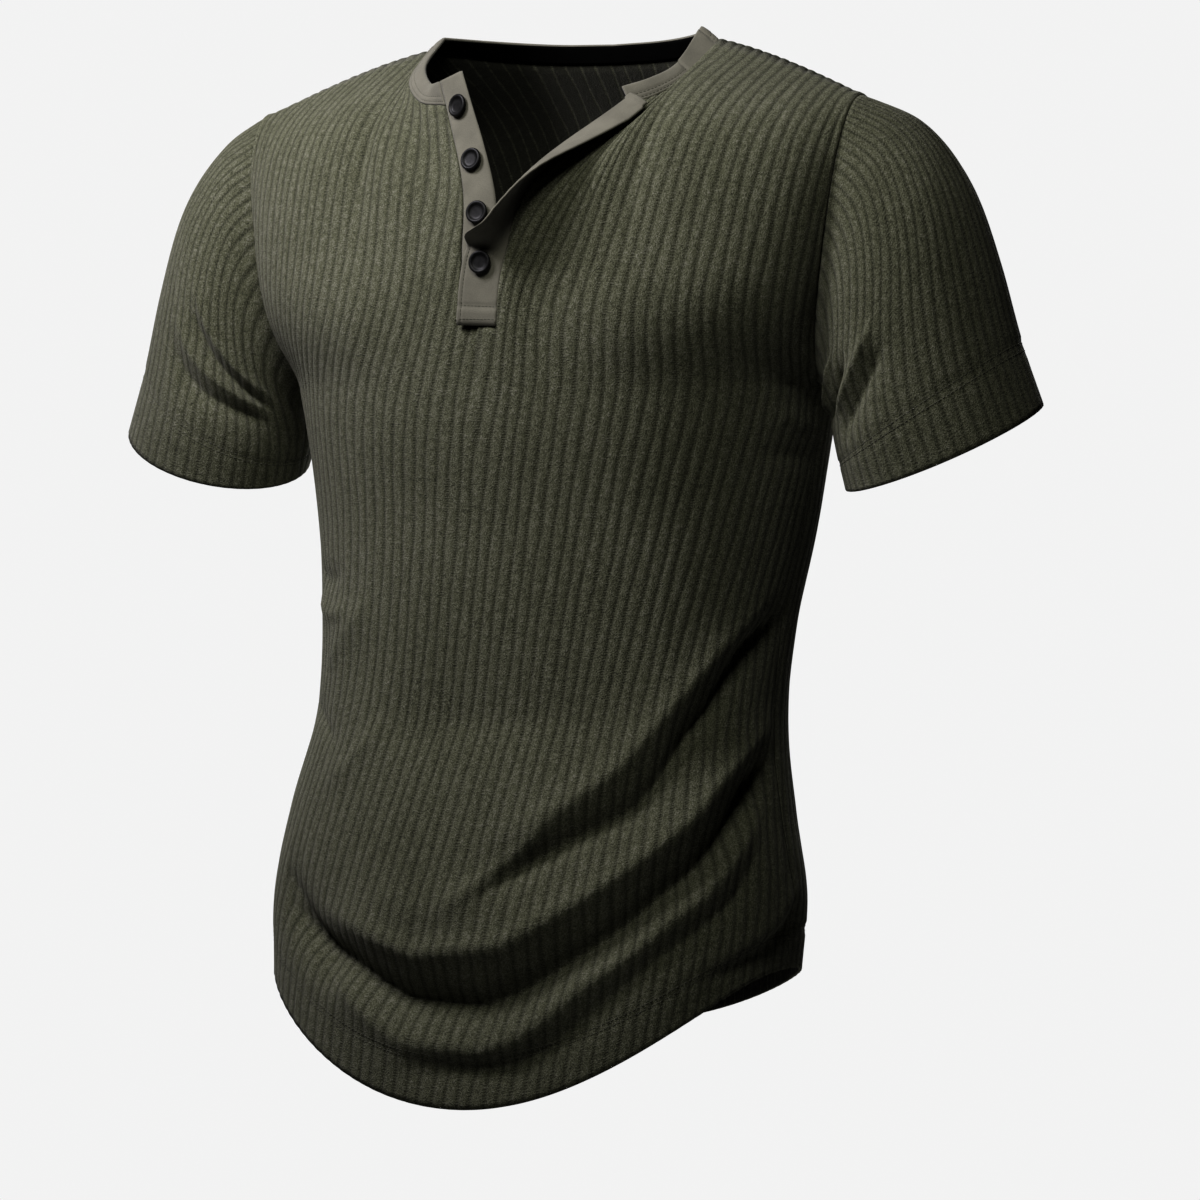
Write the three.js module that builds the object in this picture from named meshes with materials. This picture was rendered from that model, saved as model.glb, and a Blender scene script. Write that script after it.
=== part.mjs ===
import * as THREE from "three";

// A short-sleeved henley shirt in a wide ribbed knit, filled out as it is worn.
// Millimetres. X points to the wearer's left, -Y to the front, +Z up.
// The origin lies midway between the two points where neck and shoulder seam meet.

// Cloth
const WALL = 1.8; // the knit between its ribs
const RIB_HEIGHT = 0.9; // a rib's crest over the wall
const EDGE_RIB = 0.35; // share of that height beside an armhole seam
const SEAM_GAP = 0.3; // open space left along every seam
const NECK_GAP = [0.75, 0.9]; // round the neckline, front and back, where the edge twists
const STRIP_WALL = 1.8; // folded jersey of the button strips
const BAND_WALL = 1.7; // folded jersey round the neck
const TAPE_WALL = 0.9;

// Ribs across each body panel and round each sleeve
const RIBS_HALF = 27.5;
const NECK_RIBS = 11.5; // ribs from the middle to the shoulder point
const SLOT_RIBS = 1.5; // ribs left out on each side of the middle for the strips
const SLEEVE_RIBS = 48;

// Heights on a panel as a share of hem to shoulder
const UNDERARM = 0.76;
const SLOT_FOOT = 0.826;
const CHEST = 0.88;
const YOKE = 0.945;
const PANEL_ROWS = [
  0, 0.035, 0.075, 0.12, 0.165, 0.21, 0.26, 0.32, 0.4, 0.5, 0.63,
  UNDERARM, 0.795, SLOT_FOOT, 0.86, 0.895, 0.93, 0.965, 1,
];

// share, side x, side y, side z, front y, front z, back y, back z, sway, squareness
const LEVELS = [
  [0.0, 182, -38, -606, -154, -694, 62, -660, -5, 2.35],
  [0.1, 184, -36, -560, -154, -628, 66, -610, -4, 2.3],
  [0.22, 174, -34, -505, -150, -552, 68, -545, -3, 2.25],
  [0.36, 162, -26, -445, -140, -470, 72, -465, 0, 2.2],
  [0.5, 164, -18, -385, -130, -400, 80, -395, 1, 2.2],
  [0.63, 173, -8, -318, -127, -325, 98, -322, 2, 2.2],
  [0.76, 187, -3, -232, -131, -245, 114, -240, 0, 2.2],
];
const CHEST_FRONT = [-124, -158];
const CHEST_BACK = [110, -142];
const YOKE_SHARE = 0.55; // how far the yoke row lies from chest to shoulder
const YOKE_SWELL = [[0, 9, 8], [0, 31, 17]]; // below the neckline, below the shoulder
const SHOULDER_BOW = 4;

// share of a panel's height, angle round the armhole
const ARMHOLE_ROWS = [
  [UNDERARM, Math.PI],
  [CHEST, 1.78],
  [YOKE, 0.93],
  [1, 0],
];

// share from the strip to the shoulder point, seam x, y, z, rim x, y, z
const NECK_RIGHT = [
  [0, -39.5, -98, -53, -47.3, -92.5, -37],
  [0.3, -68, -81, -49, -64, -75, -36],
  [0.62, -94, -51, -33, -85, -45, -22],
  [1, -109, 0, -9, -96, 0, 0],
];
const NECK_LEFT = [
  [0, 78, -65, -54, 71, -63, -42],
  [0.3, 92.5, -52, -47, 84.5, -50, -36],
  [0.62, 104, -32, -34.5, 93.5, -31, -26],
  [1, 109, 0, -9, 96, 0, 0],
];
const NECK_BACK = [
  [0, 0, 66, -16, 0, 60, -4],
  [0.35, 44, 62, -15, 40, 56, -3],
  [0.7, 84, 42, -12, 75, 36, -1],
  [1, 109, 0, -9, 96, 0, 0],
];

// share, right edge x, y, z, left edge x, y, z, reach of the pull
const SLOT = [
  [UNDERARM, -13.6, -131, -245, 17, -131, -245, 0.15],
  [CHEST, -12, -126, -150, 22, -129, -151, 0.15],
  [YOKE, -17, -117, -102, 38, -117, -103, 0.34],
];

// share, outer x, z, inner x, z, centre y, front depth, back depth, slant of the front
const SLEEVE = [
  [0.22, 255, -67, 199, -243, -9, 52, 58, 0],
  [0.45, 283, -101, 200, -256, -8, 58, 61, -3],
  [0.7, 304, -157, 202, -269, -6, 61, 63, -8],
  [0.88, 320, -214, 205, -282, -5, 61, 62, -14],
  [1.0, 334, -252, 208, -294, -5, 58, 60, -19],
];
const SLEEVE_ROWS = [0.07, 0.22, 0.42, 0.62, 0.82, 1];

// depth, half width, length of the fade, then angle from the middle front and z
const FOLDS = [
  [-7, 14, 0.16, [[94, -370], [84, -387], [73, -403], [67, -420], [62, -438], [54, -457],
    [46, -484], [40, -500], [30, -513], [15, -533], [5, -555], [-1, -564]]],
  [5, 15, 0.3, [[88, -355], [74, -380], [62, -402], [54, -425], [46, -448], [36, -475],
    [24, -497], [10, -517], [-2, -540]]],
  [5, 13, 0.2, [[93, -442], [84, -454], [74, -468], [64, -486], [56, -506], [46, -524],
    [36, -542], [24, -556], [10, -571], [-6, -575], [-20, -562], [-40, -556]]],
  [-9, 15, 0.12, [[93, -464], [84, -476], [76, -489], [71, -501], [66, -514], [60, -528],
    [53, -542], [46, -552], [38, -566], [28, -577], [13, -593], [5, -602], [-9, -602],
    [-16, -596], [-25, -588], [-39, -584], [-56, -555]]],
  [5, 12, 0.12, [[83, -498], [74, -516], [65, -537], [56, -556], [47, -571], [37, -592],
    [26, -610], [20, -625], [13, -637], [5, -646], [-9, -641], [-17, -630], [-33, -604]]],
  [-6, 12, 0.2, [[83, -520], [75, -531], [69, -548], [65, -559], [57, -572], [49, -585],
    [42, -597], [37, -609], [29, -626], [22, -642], [12, -658], [-16, -664]]],
  [4, 12, 0.25, [[91, -540], [90, -558], [82, -574], [69, -588], [58, -602], [54, -613]]],
  [-5, 12, 0.25, [[96, -560], [87, -578], [79, -590], [69, -597], [61, -604], [53, -618]]],
  [-5, 11, 0.2, [[-56, -547], [-45, -567], [-38, -586], [-33, -602], [-24, -625]]],
  [3, 12, 0.3, [[-29, -369], [-36, -387], [-45, -405], [-53, -420]]],
  [3, 12, 0.3, [[-22, -444], [-27, -460], [-34, -479], [-43, -495]]],
  [-5, 16, 0.3, [[118, -372], [138, -398], [160, -430], [182, -452]]],
  [5, 15, 0.3, [[122, -402], [144, -436], [168, -466], [186, -486]]],
  [-6, 16, 0.3, [[-100, -470], [-122, -500], [-146, -530], [-172, -548]]],
  [4, 15, 0.3, [[-104, -502], [-130, -536], [-156, -564], [-178, -580]]],
];
const MM_PER_DEGREE = 2.9;

// Strips: the overlap is turned over along its seam to show its inside
const STRIP_WIDTH = 28;
const STRIP_LIFT = 2.5; // one strip over the other where they lie closed
const STRIP_FOOT_GAP = 0.4;
const TURN_WIDTH = 8; // strip taken up by the turn beside the seam
const STEADY_FROM = 0.85; // share up the strip from where it keeps one direction
// share up the strip, turn beside the seam in degrees, curl across the rest
const ROLL = [
  [0, 0, 0],
  [0.2, 0, 0],
  [0.235, 0, 0],
  [0.3, 30, 14],
  [0.36, 72, 18],
  [0.44, 98, 22],
  [0.55, 120, 26],
  [0.75, 143, 26],
  [1, 150, 24],
];
const OVERLAP_COLUMNS = 9;
// share up the strip, free edge x, y, z
const UNDERLAP_FREE = [
  [0, 12, -125.4, -193.6],
  [0.28, 12, -124.2, -148],
  [0.55, 9, -119.5, -112],
  [0.75, -3, -113, -80],
  [0.9, -16, -106, -53],
  [1, -27.3, -98.5, -31],
];
const UNDERLAP_COLUMNS = 4;

// Buttons: radius and height of the turned outline, then where each sits
const BUTTON_OUTLINE = [[0, 0], [5.4, 0], [7.3, 0.9], [7.5, 1.9], [6.7, 2.8], [5.3, 2.6],
  [4.5, 1.7], [0, 1.6]];
const BUTTON_SIDES = 18;
const BUTTON_STAND = 0.8; // on the shank of its thread
// row share up the strip, share across from the seam
const BUTTON_SEATS = [
  ["button_1", 0.89, 0.55],
  ["button_2", 0.665, 0.5],
  ["button_3", 0.435, 0.46],
];
const OVERLAP_BUTTON = ["button_4", 0.185, 0.53];

const add = (a, b, k = 1) => [a[0] + b[0] * k, a[1] + b[1] * k, a[2] + b[2] * k];
const sub = (a, b) => add(a, b, -1);
const times = (a, k) => [a[0] * k, a[1] * k, a[2] * k];
const dot = (a, b) => a[0] * b[0] + a[1] * b[1] + a[2] * b[2];
const cross = (a, b) => [
  a[1] * b[2] - a[2] * b[1],
  a[2] * b[0] - a[0] * b[2],
  a[0] * b[1] - a[1] * b[0],
];
const unit = (a) => times(a, 1 / (Math.hypot(...a) || 1));
const mix = (a, b, t) => add(times(a, 1 - t), b, t);
const clamp = (t) => Math.min(1, Math.max(0, t));
const ease = (t) => clamp(t) ** 2 * (3 - 2 * clamp(t));

// A smooth curve through table rows: the first column is where each row lies
function through(rows, t) {
  const last = rows.length - 1;
  const slope = (k) => rows[k].map((_, c) => (rows[k + 1][c] - rows[k][c])
    / (rows[k + 1][0] - rows[k][0]));
  const lean = (k) => {
    if (k === 0) return slope(0);
    if (k === last) return slope(last - 1);
    const before = rows[k][0] - rows[k - 1][0];
    const after = rows[k + 1][0] - rows[k][0];
    const low = slope(k - 1);
    const high = slope(k);
    return low.map((m, c) => (m * after + high[c] * before) / (before + after));
  };
  let k = 0;
  while (k < last - 1 && t >= rows[k + 1][0]) k += 1;
  const span = rows[k + 1][0] - rows[k][0];
  const s = (t - rows[k][0]) / span;
  const from = lean(k);
  const to = lean(k + 1);
  return rows[k].map((p, c) => (2 * s ** 3 - 3 * s ** 2 + 1) * p
    + (s ** 3 - 2 * s ** 2 + s) * span * from[c]
    + (3 * s ** 2 - 2 * s ** 3) * rows[k + 1][c]
    + (s ** 3 - s ** 2) * span * to[c]).slice(1);
}

// The seam where a sleeve is set in, on the wearer's left
function armhole(angle) {
  const c = Math.cos(angle);
  const s = Math.sin(angle);
  const depth = s > 0 ? 40 : 52;
  return [208 + 17.5 * c - 5 * c * c, -11.5 - 8.5 * c - depth * s, -141 + 91 * c];
}
const armholeAngle = (share) => through(ARMHOLE_ROWS, share)[0];

// A quarter of a rounded ring from the middle to the side, in steps of equal length
function quarterRing(side, centre, square, rise) {
  const points = [];
  const run = [0];
  for (let k = 0; k < 90; k += 1) {
    const a = (k / 89) * Math.PI / 2;
    const out = Math.sin(a) ** (2 / square);
    const near = Math.max(0, Math.cos(a)) ** (2 / square);
    points.push([
      side[0] * out,
      side[1] + (centre[0] - side[1]) * near,
      centre[1] + (side[2] - centre[1]) * out ** rise,
    ]);
    if (k) run.push(run[k - 1] + Math.hypot(...sub(points[k], points[k - 1])));
  }
  return (f) => {
    const at = f * run[89];
    let k = 0;
    while (k < 88 && run[k + 1] < at) k += 1;
    return mix(points[k], points[k + 1], (at - run[k]) / (run[k + 1] - run[k]));
  };
}

function neckTable(back, left) {
  if (back) return NECK_BACK;
  return left ? NECK_LEFT : NECK_RIGHT.map(([s, x, y, z, a, b, c]) => [s, -x, y, z, -a, b, c]);
}

// The neckline and then the shoulder seam, from the middle to the armhole
function topRow(back, left) {
  const table = neckTable(back, left);
  const start = back ? 0 : SLOT_RIBS / RIBS_HALF;
  const neck = NECK_RIBS / RIBS_HALF;
  const point = table[table.length - 1].slice(1, 4);
  return (f) => {
    if (f < neck) return through(table, clamp((f - start) / (neck - start))).slice(0, 3);
    const s = (f - neck) / (1 - neck);
    const bow = SHOULDER_BOW * 4 * s * (1 - s) * (1 - 0.4 * s);
    return add(mix(point, armhole(0), s), [0, 0, bow]);
  };
}

// The control rows of half a panel: share of its height and a curve from the middle out
function controlRows(back, left) {
  const rows = LEVELS.map(([v, x, y, z, fy, fz, by, bz, , square]) => {
    const centre = back ? [by, bz] : [fy, fz];
    return [v, quarterRing([x, y, z], centre, square, back ? 1.8 : 2)];
  });
  const turn = back ? -1 : 1;
  const chest = quarterRing(
    armhole(turn * ARMHOLE_ROWS[1][1]), back ? CHEST_BACK : CHEST_FRONT, 2.15, 1.5,
  );
  const closed = topRow(back, false);
  const raised = (f) => {
    const swell = mix(YOKE_SWELL[0], YOKE_SWELL[1], ease((f - 0.12) / 0.4));
    return add(mix(chest(f), closed(f), YOKE_SHARE), [0, -turn * swell[1], swell[2]]);
  };
  const miss = sub(armhole(turn * ARMHOLE_ROWS[2][1]), raised(1));
  const yoke = (f) => add(raised(f), miss, f * f);
  rows.push([CHEST, chest], [YOKE, yoke], [1, topRow(back, left)]);
  const slot = SLOT_RIBS / RIBS_HALF;
  return rows.map(([v, row]) => {
    const held = SLOT.find(([share]) => share === v);
    if (back || !held) return [v, row];
    const [, rx, ry, rz, lx, ly, lz, reach] = held;
    const pull = sub(left ? [lx, ly, lz] : [-rx, ry, rz], row(slot));
    return [v, (f) => add(row(f), pull, ease(1 - (f - slot) / reach))];
  });
}

// Both halves of a panel before its folds: rows from the hem up, columns between ribs
function plainPanel(back) {
  const halves = [false, true].map((left) => controlRows(back, left));
  const sway = [...LEVELS.map((level) => [level[0], level[8]]), [1, 0]];
  return PANEL_ROWS.map((v) => {
    const shift = v < UNDERARM ? through(sway, v)[0] : 0;
    const row = [];
    for (let j = 0; j <= 2 * RIBS_HALF; j += 1) {
      const f = Math.abs(j - RIBS_HALF) / RIBS_HALF;
      const left = j > RIBS_HALF;
      const shape = (g) => {
        const p = through(halves[left ? 1 : 0].map(([s, curve]) => [s, ...curve(g)]), v);
        return [(left ? 1 : -1) * p[0] + shift, p[1], p[2]];
      };
      let point = shape(f);
      if (v >= UNDERARM) {
        const [x, y, z] = armhole((back ? -1 : 1) * armholeAngle(v));
        point = add(point, sub([left ? x : -x, y, z], shape(1)), f ** 5);
      }
      row.push(point);
    }
    return row;
  });
}

// Directions square to a grid of points, pointing out of the garment
function outward(grid, flip) {
  const rows = grid.length - 1;
  const columns = grid[0].length - 1;
  return grid.map((row, i) => row.map((_, j) => {
    const along = sub(row[Math.min(j + 1, columns)], row[Math.max(j - 1, 0)]);
    const up = sub(grid[Math.min(i + 1, rows)][j], grid[Math.max(i - 1, 0)][j]);
    return times(unit(cross(along, up)), flip ? -1 : 1);
  }));
}

// Two pieces that meet lean their edges the same way
function shareEdge(a, b) {
  const middle = unit(add(a, b));
  const stretch = 1 / Math.max(0.6, dot(middle, a));
  return times(middle, stretch);
}

// How far the folds move a place, given its angle from the middle front and its height
function foldDepth(angle, z) {
  let total = 0;
  for (const [depth, width, fade, line] of FOLDS) {
    let best = Infinity;
    let at = 0;
    let run = 0;
    for (let k = 0; k < line.length - 1; k += 1) {
      const ax = line[k][0] * MM_PER_DEGREE;
      const dx = line[k + 1][0] * MM_PER_DEGREE - ax;
      const dz = line[k + 1][1] - line[k][1];
      const length = Math.hypot(dx, dz);
      const px = angle * MM_PER_DEGREE - ax;
      const pz = z - line[k][1];
      const t = clamp((px * dx + pz * dz) / length ** 2);
      const away = Math.hypot(px - t * dx, pz - t * dz);
      if (away < best) {
        best = away;
        at = run + t * length;
      }
      run += length;
    }
    const end = Math.min(at, run - at) / run / fade;
    total += depth * ease(end) * Math.exp(-((best / width) ** 2));
  }
  return total;
}

// Degrees round the body from the middle front, positive toward the wearer's left
function bodyAngle(back, v, point) {
  const table = [
    ...LEVELS.map(([s, x, y, , fy, , by, , sway]) => [s, x, y, back ? by : fy, sway]),
    [1, 200, -10, back ? 80 : -110, 0],
  ];
  const [x, y, middle, sway] = through(table, v);
  const out = Math.abs((point[0] - sway) / x) ** 1.1;
  const near = Math.max(0, (point[1] - y) / (middle - y)) ** 1.1;
  const angle = Math.atan2(out, near) * 180 / Math.PI;
  return (point[0] < sway ? -1 : 1) * (back ? 180 - angle : angle);
}

const LAST = PANEL_ROWS.length - 1;
const SIDE = 2 * RIBS_HALF;
const UNDER = PANEL_ROWS.indexOf(UNDERARM);
const FOOT = PANEL_ROWS.indexOf(SLOT_FOOT);
const SLOT_COLUMNS = [RIBS_HALF - SLOT_RIBS, RIBS_HALF + SLOT_RIBS];
const NECK_COLUMNS = [RIBS_HALF - NECK_RIBS, RIBS_HALF + NECK_RIBS];
const onSeam = (i, j) => ((j === 0 || j === SIDE) && i <= UNDER)
  || (i === LAST && (j <= NECK_COLUMNS[0] || j >= NECK_COLUMNS[1]));

// Front and back share the edge directions along side seams and shoulder seams
function sharedDirections(front, back) {
  const a = outward(front, false);
  const b = outward(back, true);
  front.forEach((row, i) => row.forEach((_, j) => {
    if (!onSeam(i, j)) return;
    const shared = shareEdge(a[i][j], b[i][j]);
    a[i][j] = shared;
    b[i][j] = shared;
  }));
  return [a, b];
}

const plain = [plainPanel(false), plainPanel(true)];
const plainOut = sharedDirections(...plain);
const folded = plain.map((grid, back) => grid.map((row, i) => row.map((p, j) => {
  const angle = bodyAngle(back === 1, PANEL_ROWS[i], p);
  const depth = foldDepth(angle, p[2])
    + foldDepth(angle + 360, p[2])
    + foldDepth(angle - 360, p[2]);
  return add(p, plainOut[back][i][j], depth);
})));
const panelOut = sharedDirections(...folded);

// Along the top the directions are evened out, so that the neckband's foot lies fair
for (let pass = 0; pass < 3; pass += 1) {
  for (const out of panelOut) {
    const row = out[LAST];
    out[LAST] = row.map((n, j) => unit(add(add(row[Math.max(j - 1, 0)],
      row[Math.min(j + 1, SIDE)]), n, 2)));
  }
  for (let j = 0; j <= SIDE; j += 1) {
    if (!onSeam(LAST, j)) continue;
    const shared = unit(add(panelOut[0][LAST][j], panelOut[1][LAST][j]));
    panelOut[0][LAST][j] = shared;
    panelOut[1][LAST][j] = shared;
  }
}

// Sleeve rings: the first takes the panels' own points, the others lie between ribs
const seamAngles = [];
for (let i = LAST; i >= UNDER; i -= 1) seamAngles.push(armholeAngle(PANEL_ROWS[i]));
for (let i = UNDER + 1; i < LAST; i += 1) {
  seamAngles.push(2 * Math.PI - armholeAngle(PANEL_ROWS[i]));
}
const ribAngles = Array.from({ length: SLEEVE_RIBS }, (_, k) => 2 * Math.PI * k / SLEEVE_RIBS);

function sleevePoint(angle, share) {
  const c = Math.cos(angle);
  const s = Math.sin(angle);
  const rings = SLEEVE.map(([t, ox, oz, ix, iz, y, front, behind, slant]) => [
    t,
    (ox + ix) / 2 + (ox - ix) / 2 * c,
    y - (s > 0 ? front : behind) * s,
    (oz + iz) / 2 + (oz - iz) / 2 * c + slant * s,
  ]);
  return through([[0, ...armhole(angle)], ...rings], share);
}

function sleeveOut(angle, share) {
  const step = 0.02;
  const along = sub(sleevePoint(angle, Math.min(1, share + step)),
    sleevePoint(angle, Math.max(0, share - step)));
  const round = sub(sleevePoint(angle + step, share), sleevePoint(angle - step, share));
  return unit(cross(round, along));
}

const mirror = (p, side) => [p[0] * side, p[1], p[2]];

// The panel point that a place on a sleeve's seam meets
function seamPlace(k, side) {
  const j = side > 0 ? SIDE : 0;
  const i = k <= LAST - UNDER ? LAST - k : UNDER + k - (LAST - UNDER);
  return [k <= LAST - UNDER ? 0 : 1, i, j];
}

// Along each armhole the panels and the sleeve share their edge directions
const sleeveEdges = {};
for (const side of [1, -1]) {
  sleeveEdges[side] = seamAngles.map((angle, k) => {
    const [piece, i, j] = seamPlace(k, side);
    const sign = dot(sleeveOut(0, 0.5), [0, 0, 1]) > 0 ? 1 : -1;
    const own = mirror(times(sleeveOut(angle, 0), sign), side);
    const shared = shareEdge(unit(panelOut[piece][i][j]), own);
    panelOut[piece][i][j] = shared;
    if (i === UNDER || i === LAST) panelOut[1 - piece][i][j] = shared;
    return shared;
  });
}

// Triangles between two rows of points, walked side by side by their places
function bridge(faces, a, aAt, b, bAt) {
  let i = 0;
  let j = 0;
  while (i < a.length - 1 || j < b.length - 1) {
    const nextA = i < a.length - 1 ? aAt[i + 1] : Infinity;
    const nextB = j < b.length - 1 ? bAt[j + 1] : Infinity;
    if (nextA <= nextB) {
      faces.push([a[i], a[i + 1], b[j]]);
      i += 1;
    } else {
      faces.push([a[i], b[j + 1], b[j]]);
      j += 1;
    }
  }
}

// A closed body from its points and faces, turned so that its faces point out
function closedBody(points, faces) {
  let volume = 0;
  for (const [a, b, c] of faces) volume += dot(points[a], cross(points[b], points[c]));
  const geometry = new THREE.BufferGeometry();
  geometry.setAttribute("position", new THREE.Float32BufferAttribute(points.flat(), 3));
  geometry.setIndex(faces.flatMap(([a, b, c]) => (volume > 0 ? [a, b, c] : [a, c, b])));
  return geometry;
}

// Cloth with a wall: ribbed points outside, plain ones inside, and rims round its edges.
// has(i, j) tells which cells of the grid the piece covers.
function clothWall(outer, inner, options) {
  const { rib = null, has = () => true, innerStep = 1, edgeTurned = false } = options;
  const rows = outer.length - 1;
  const columns = outer[0].length - 1;
  const points = [];
  const faces = [];
  const put = (p) => points.push(p) - 1;
  const keep = (name, make) => {
    if (!ids.has(name)) ids.set(name, put(make()));
    return ids.get(name);
  };
  const ids = new Map();
  const out = (i, j) => keep(`o${i}.${j}`, () => outer[i][j]);
  const within = (i, j) => keep(`i${i}.${j}`, () => inner[i][j]);
  const crest = (i, j) => keep(`c${i}.${j}`, () => {
    const lift = unit(add(sub(outer[i][j], inner[i][j]), sub(outer[i][j + 1], inner[i][j + 1])));
    return add(mix(outer[i][j], outer[i][j + 1], 0.5), lift, rib(i, j));
  });
  const cell = (i, j) => i >= 0 && i < rows && j >= 0 && j < columns && has(i, j);
  const innerColumns = [];
  for (let j = 0; j <= columns; j += 1) {
    if (j % innerStep === 0 || j === columns) innerColumns.push(j);
  }
  // Both halves of a piece are split alike about its middle
  const quad = (a, b, c, d, turned = false) => {
    if (turned) faces.push([a, b, d], [b, c, d]);
    else faces.push([a, b, c], [a, c, d]);
  };
  for (let i = 0; i < rows; i += 1) {
    for (let j = 0; j < columns; j += 1) {
      if (!cell(i, j)) continue;
      const turned = j < columns / 2;
      if (rib) {
        quad(out(i, j), crest(i, j), crest(i + 1, j), out(i + 1, j), turned);
        quad(crest(i, j), out(i, j + 1), out(i + 1, j + 1), crest(i + 1, j), turned);
      } else {
        quad(out(i, j), out(i, j + 1), out(i + 1, j + 1), out(i + 1, j), turned);
      }
      if (!cell(i, j - 1)) {
        quad(out(i, j), out(i + 1, j), within(i + 1, j), within(i, j), edgeTurned);
      }
      if (!cell(i, j + 1)) {
        quad(out(i + 1, j + 1), out(i, j + 1), within(i, j + 1), within(i + 1, j + 1),
          !edgeTurned);
      }
    }
    for (let k = 0; k < innerColumns.length - 1; k += 1) {
      const [j, m] = [innerColumns[k], innerColumns[k + 1]];
      if (!cell(i, j)) continue;
      const turned = j >= columns / 2;
      quad(within(i, m), within(i, j), within(i + 1, j), within(i + 1, m), turned);
    }
  }
  // The rims along rows, wherever cloth begins or ends
  for (let i = 0; i <= rows; i += 1) {
    for (let k = 0; k < innerColumns.length - 1; k += 1) {
      const [j, m] = [innerColumns[k], innerColumns[k + 1]];
      const above = cell(i, j);
      const below = cell(i - 1, j);
      if (above === below) continue;
      const a = [];
      const at = [];
      for (let c = j; c <= m; c += 1) {
        a.push(out(i, c));
        at.push(c);
        if (rib && c < m) {
          a.push(crest(i, c));
          at.push(c + 0.5);
        }
      }
      const b = [within(i, j), within(i, m)];
      const strip = [];
      bridge(strip, a, at, b, [j, m]);
      for (const [p, q, r] of strip) faces.push(above ? [p, r, q] : [p, q, r]);
    }
  }
  return closedBody(points, faces);
}

// Points moved in from an edge by half a seam's gap
function drawn(grid, i, j, toI, toJ) {
  return add(grid[i][j], unit(sub(grid[toI][toJ], grid[i][j])), SEAM_GAP / 2);
}

function bodyPanel(back) {
  const grid = folded[back];
  const outer = grid.map((row, i) => row.map((p, j) => {
    let point = p;
    if (j === 0) point = drawn(grid, i, j, i, 1);
    if (j === SIDE) point = drawn(grid, i, j, i, SIDE - 1);
    if (i === LAST) point = add(point, unit(sub(grid[i - 1][j], p)), SEAM_GAP / 2);
    return point;
  }));
  const inner = outer.map((row, i) => row.map((p, j) => add(p, panelOut[back][i][j], -WALL)));
  const has = back ? () => true
    : (i, j) => !(i >= FOOT && j >= SLOT_COLUMNS[0] && j < SLOT_COLUMNS[1]);
  const rib = (i, j) => {
    const beside = (j === 0 || j === SIDE - 1) && i >= UNDER - 1;
    return RIB_HEIGHT * (beside ? EDGE_RIB : 1);
  };
  const options = { rib, has, innerStep: back ? 2 : 1, edgeTurned: !back };
  return [outer, inner, clothWall(outer, inner, options)];
}

// A sleeve's seam ring is bridged to its ribbed rings, inside and outside
function sleeveBody(side) {
  const sign = dot(sleeveOut(0, 0.5), [0, 0, 1]) > 0 ? 1 : -1;
  const points = [];
  const faces = [];
  const put = (p) => points.push(mirror(p, side)) - 1;
  const edge = seamAngles.map((angle, k) => {
    const start = armhole(angle);
    const away = unit(sub(sleevePoint(angle, 0.1), start));
    const p = add(start, away, SEAM_GAP / 2);
    return [put(p), put(add(p, mirror(sleeveEdges[side][k], side), -WALL))];
  });
  const rings = SLEEVE_ROWS.map((share, row) => {
    const height = RIB_HEIGHT * (row ? 1 : EDGE_RIB);
    const base = ribAngles.map((angle) => sleevePoint(angle, share));
    const out = ribAngles.map((angle) => times(sleeveOut(angle, share), sign));
    const outer = [];
    base.forEach((p, k) => {
      const next = (k + 1) % SLEEVE_RIBS;
      outer.push(put(p));
      outer.push(put(add(mix(p, base[next], 0.5), unit(add(out[k], out[next])), height)));
    });
    const inner = base.filter((_, k) => k % 2 === 0)
      .map((p, k) => put(add(p, out[2 * k], -WALL)));
    return [outer, inner];
  });
  const closeUp = (list) => [...list, list[0]];
  const even = (count) => Array.from({ length: count + 1 }, (_, k) => 2 * Math.PI * k / count);
  const seamAt = [...seamAngles, 2 * Math.PI];
  const rows = [[edge.map((e) => e[0]), edge.map((e) => e[1])], ...rings];
  const at = (k, inside) => {
    if (k === 0) return seamAt;
    return even(inside ? SLEEVE_RIBS / 2 : 2 * SLEEVE_RIBS);
  };
  for (let k = 0; k < rows.length - 1; k += 1) {
    bridge(faces, closeUp(rows[k][0]), at(k, false), closeUp(rows[k + 1][0]), at(k + 1, false));
    bridge(faces, closeUp(rows[k + 1][1]), at(k + 1, true), closeUp(rows[k][1]), at(k, true));
  }
  const cuff = rows.length - 1;
  bridge(faces, closeUp(rows[cuff][0]), at(cuff, false), closeUp(rows[cuff][1]), at(cuff, true));
  bridge(faces, closeUp(rows[0][1]), seamAt, closeUp(rows[0][0]), seamAt);
  return closedBody(points, faces);
}

const [frontOuter, frontInner, frontBody] = bodyPanel(0);
const [backOuter, backInner, backBody] = bodyPanel(1);

// The neckline's places in order, from the left strip round the back to the right strip
const neckPlaces = [];
for (let j = SLOT_COLUMNS[1]; j <= NECK_COLUMNS[1]; j += 1) neckPlaces.push([0, j]);
for (let j = NECK_COLUMNS[1] - 1; j > NECK_COLUMNS[0]; j -= 1) neckPlaces.push([1, j]);
for (let j = NECK_COLUMNS[0]; j <= SLOT_COLUMNS[0]; j += 1) neckPlaces.push([0, j]);

// The rim of the neckband above each place
function rimPoint(back, j) {
  const left = j > RIBS_HALF;
  const start = back ? 0 : SLOT_RIBS;
  const share = clamp((Math.abs(j - RIBS_HALF) - start) / (NECK_RIBS - start));
  const [, , , x, y, z] = through(neckTable(back === 1, left), share);
  return [left ? x : -x, y, z];
}

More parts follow.
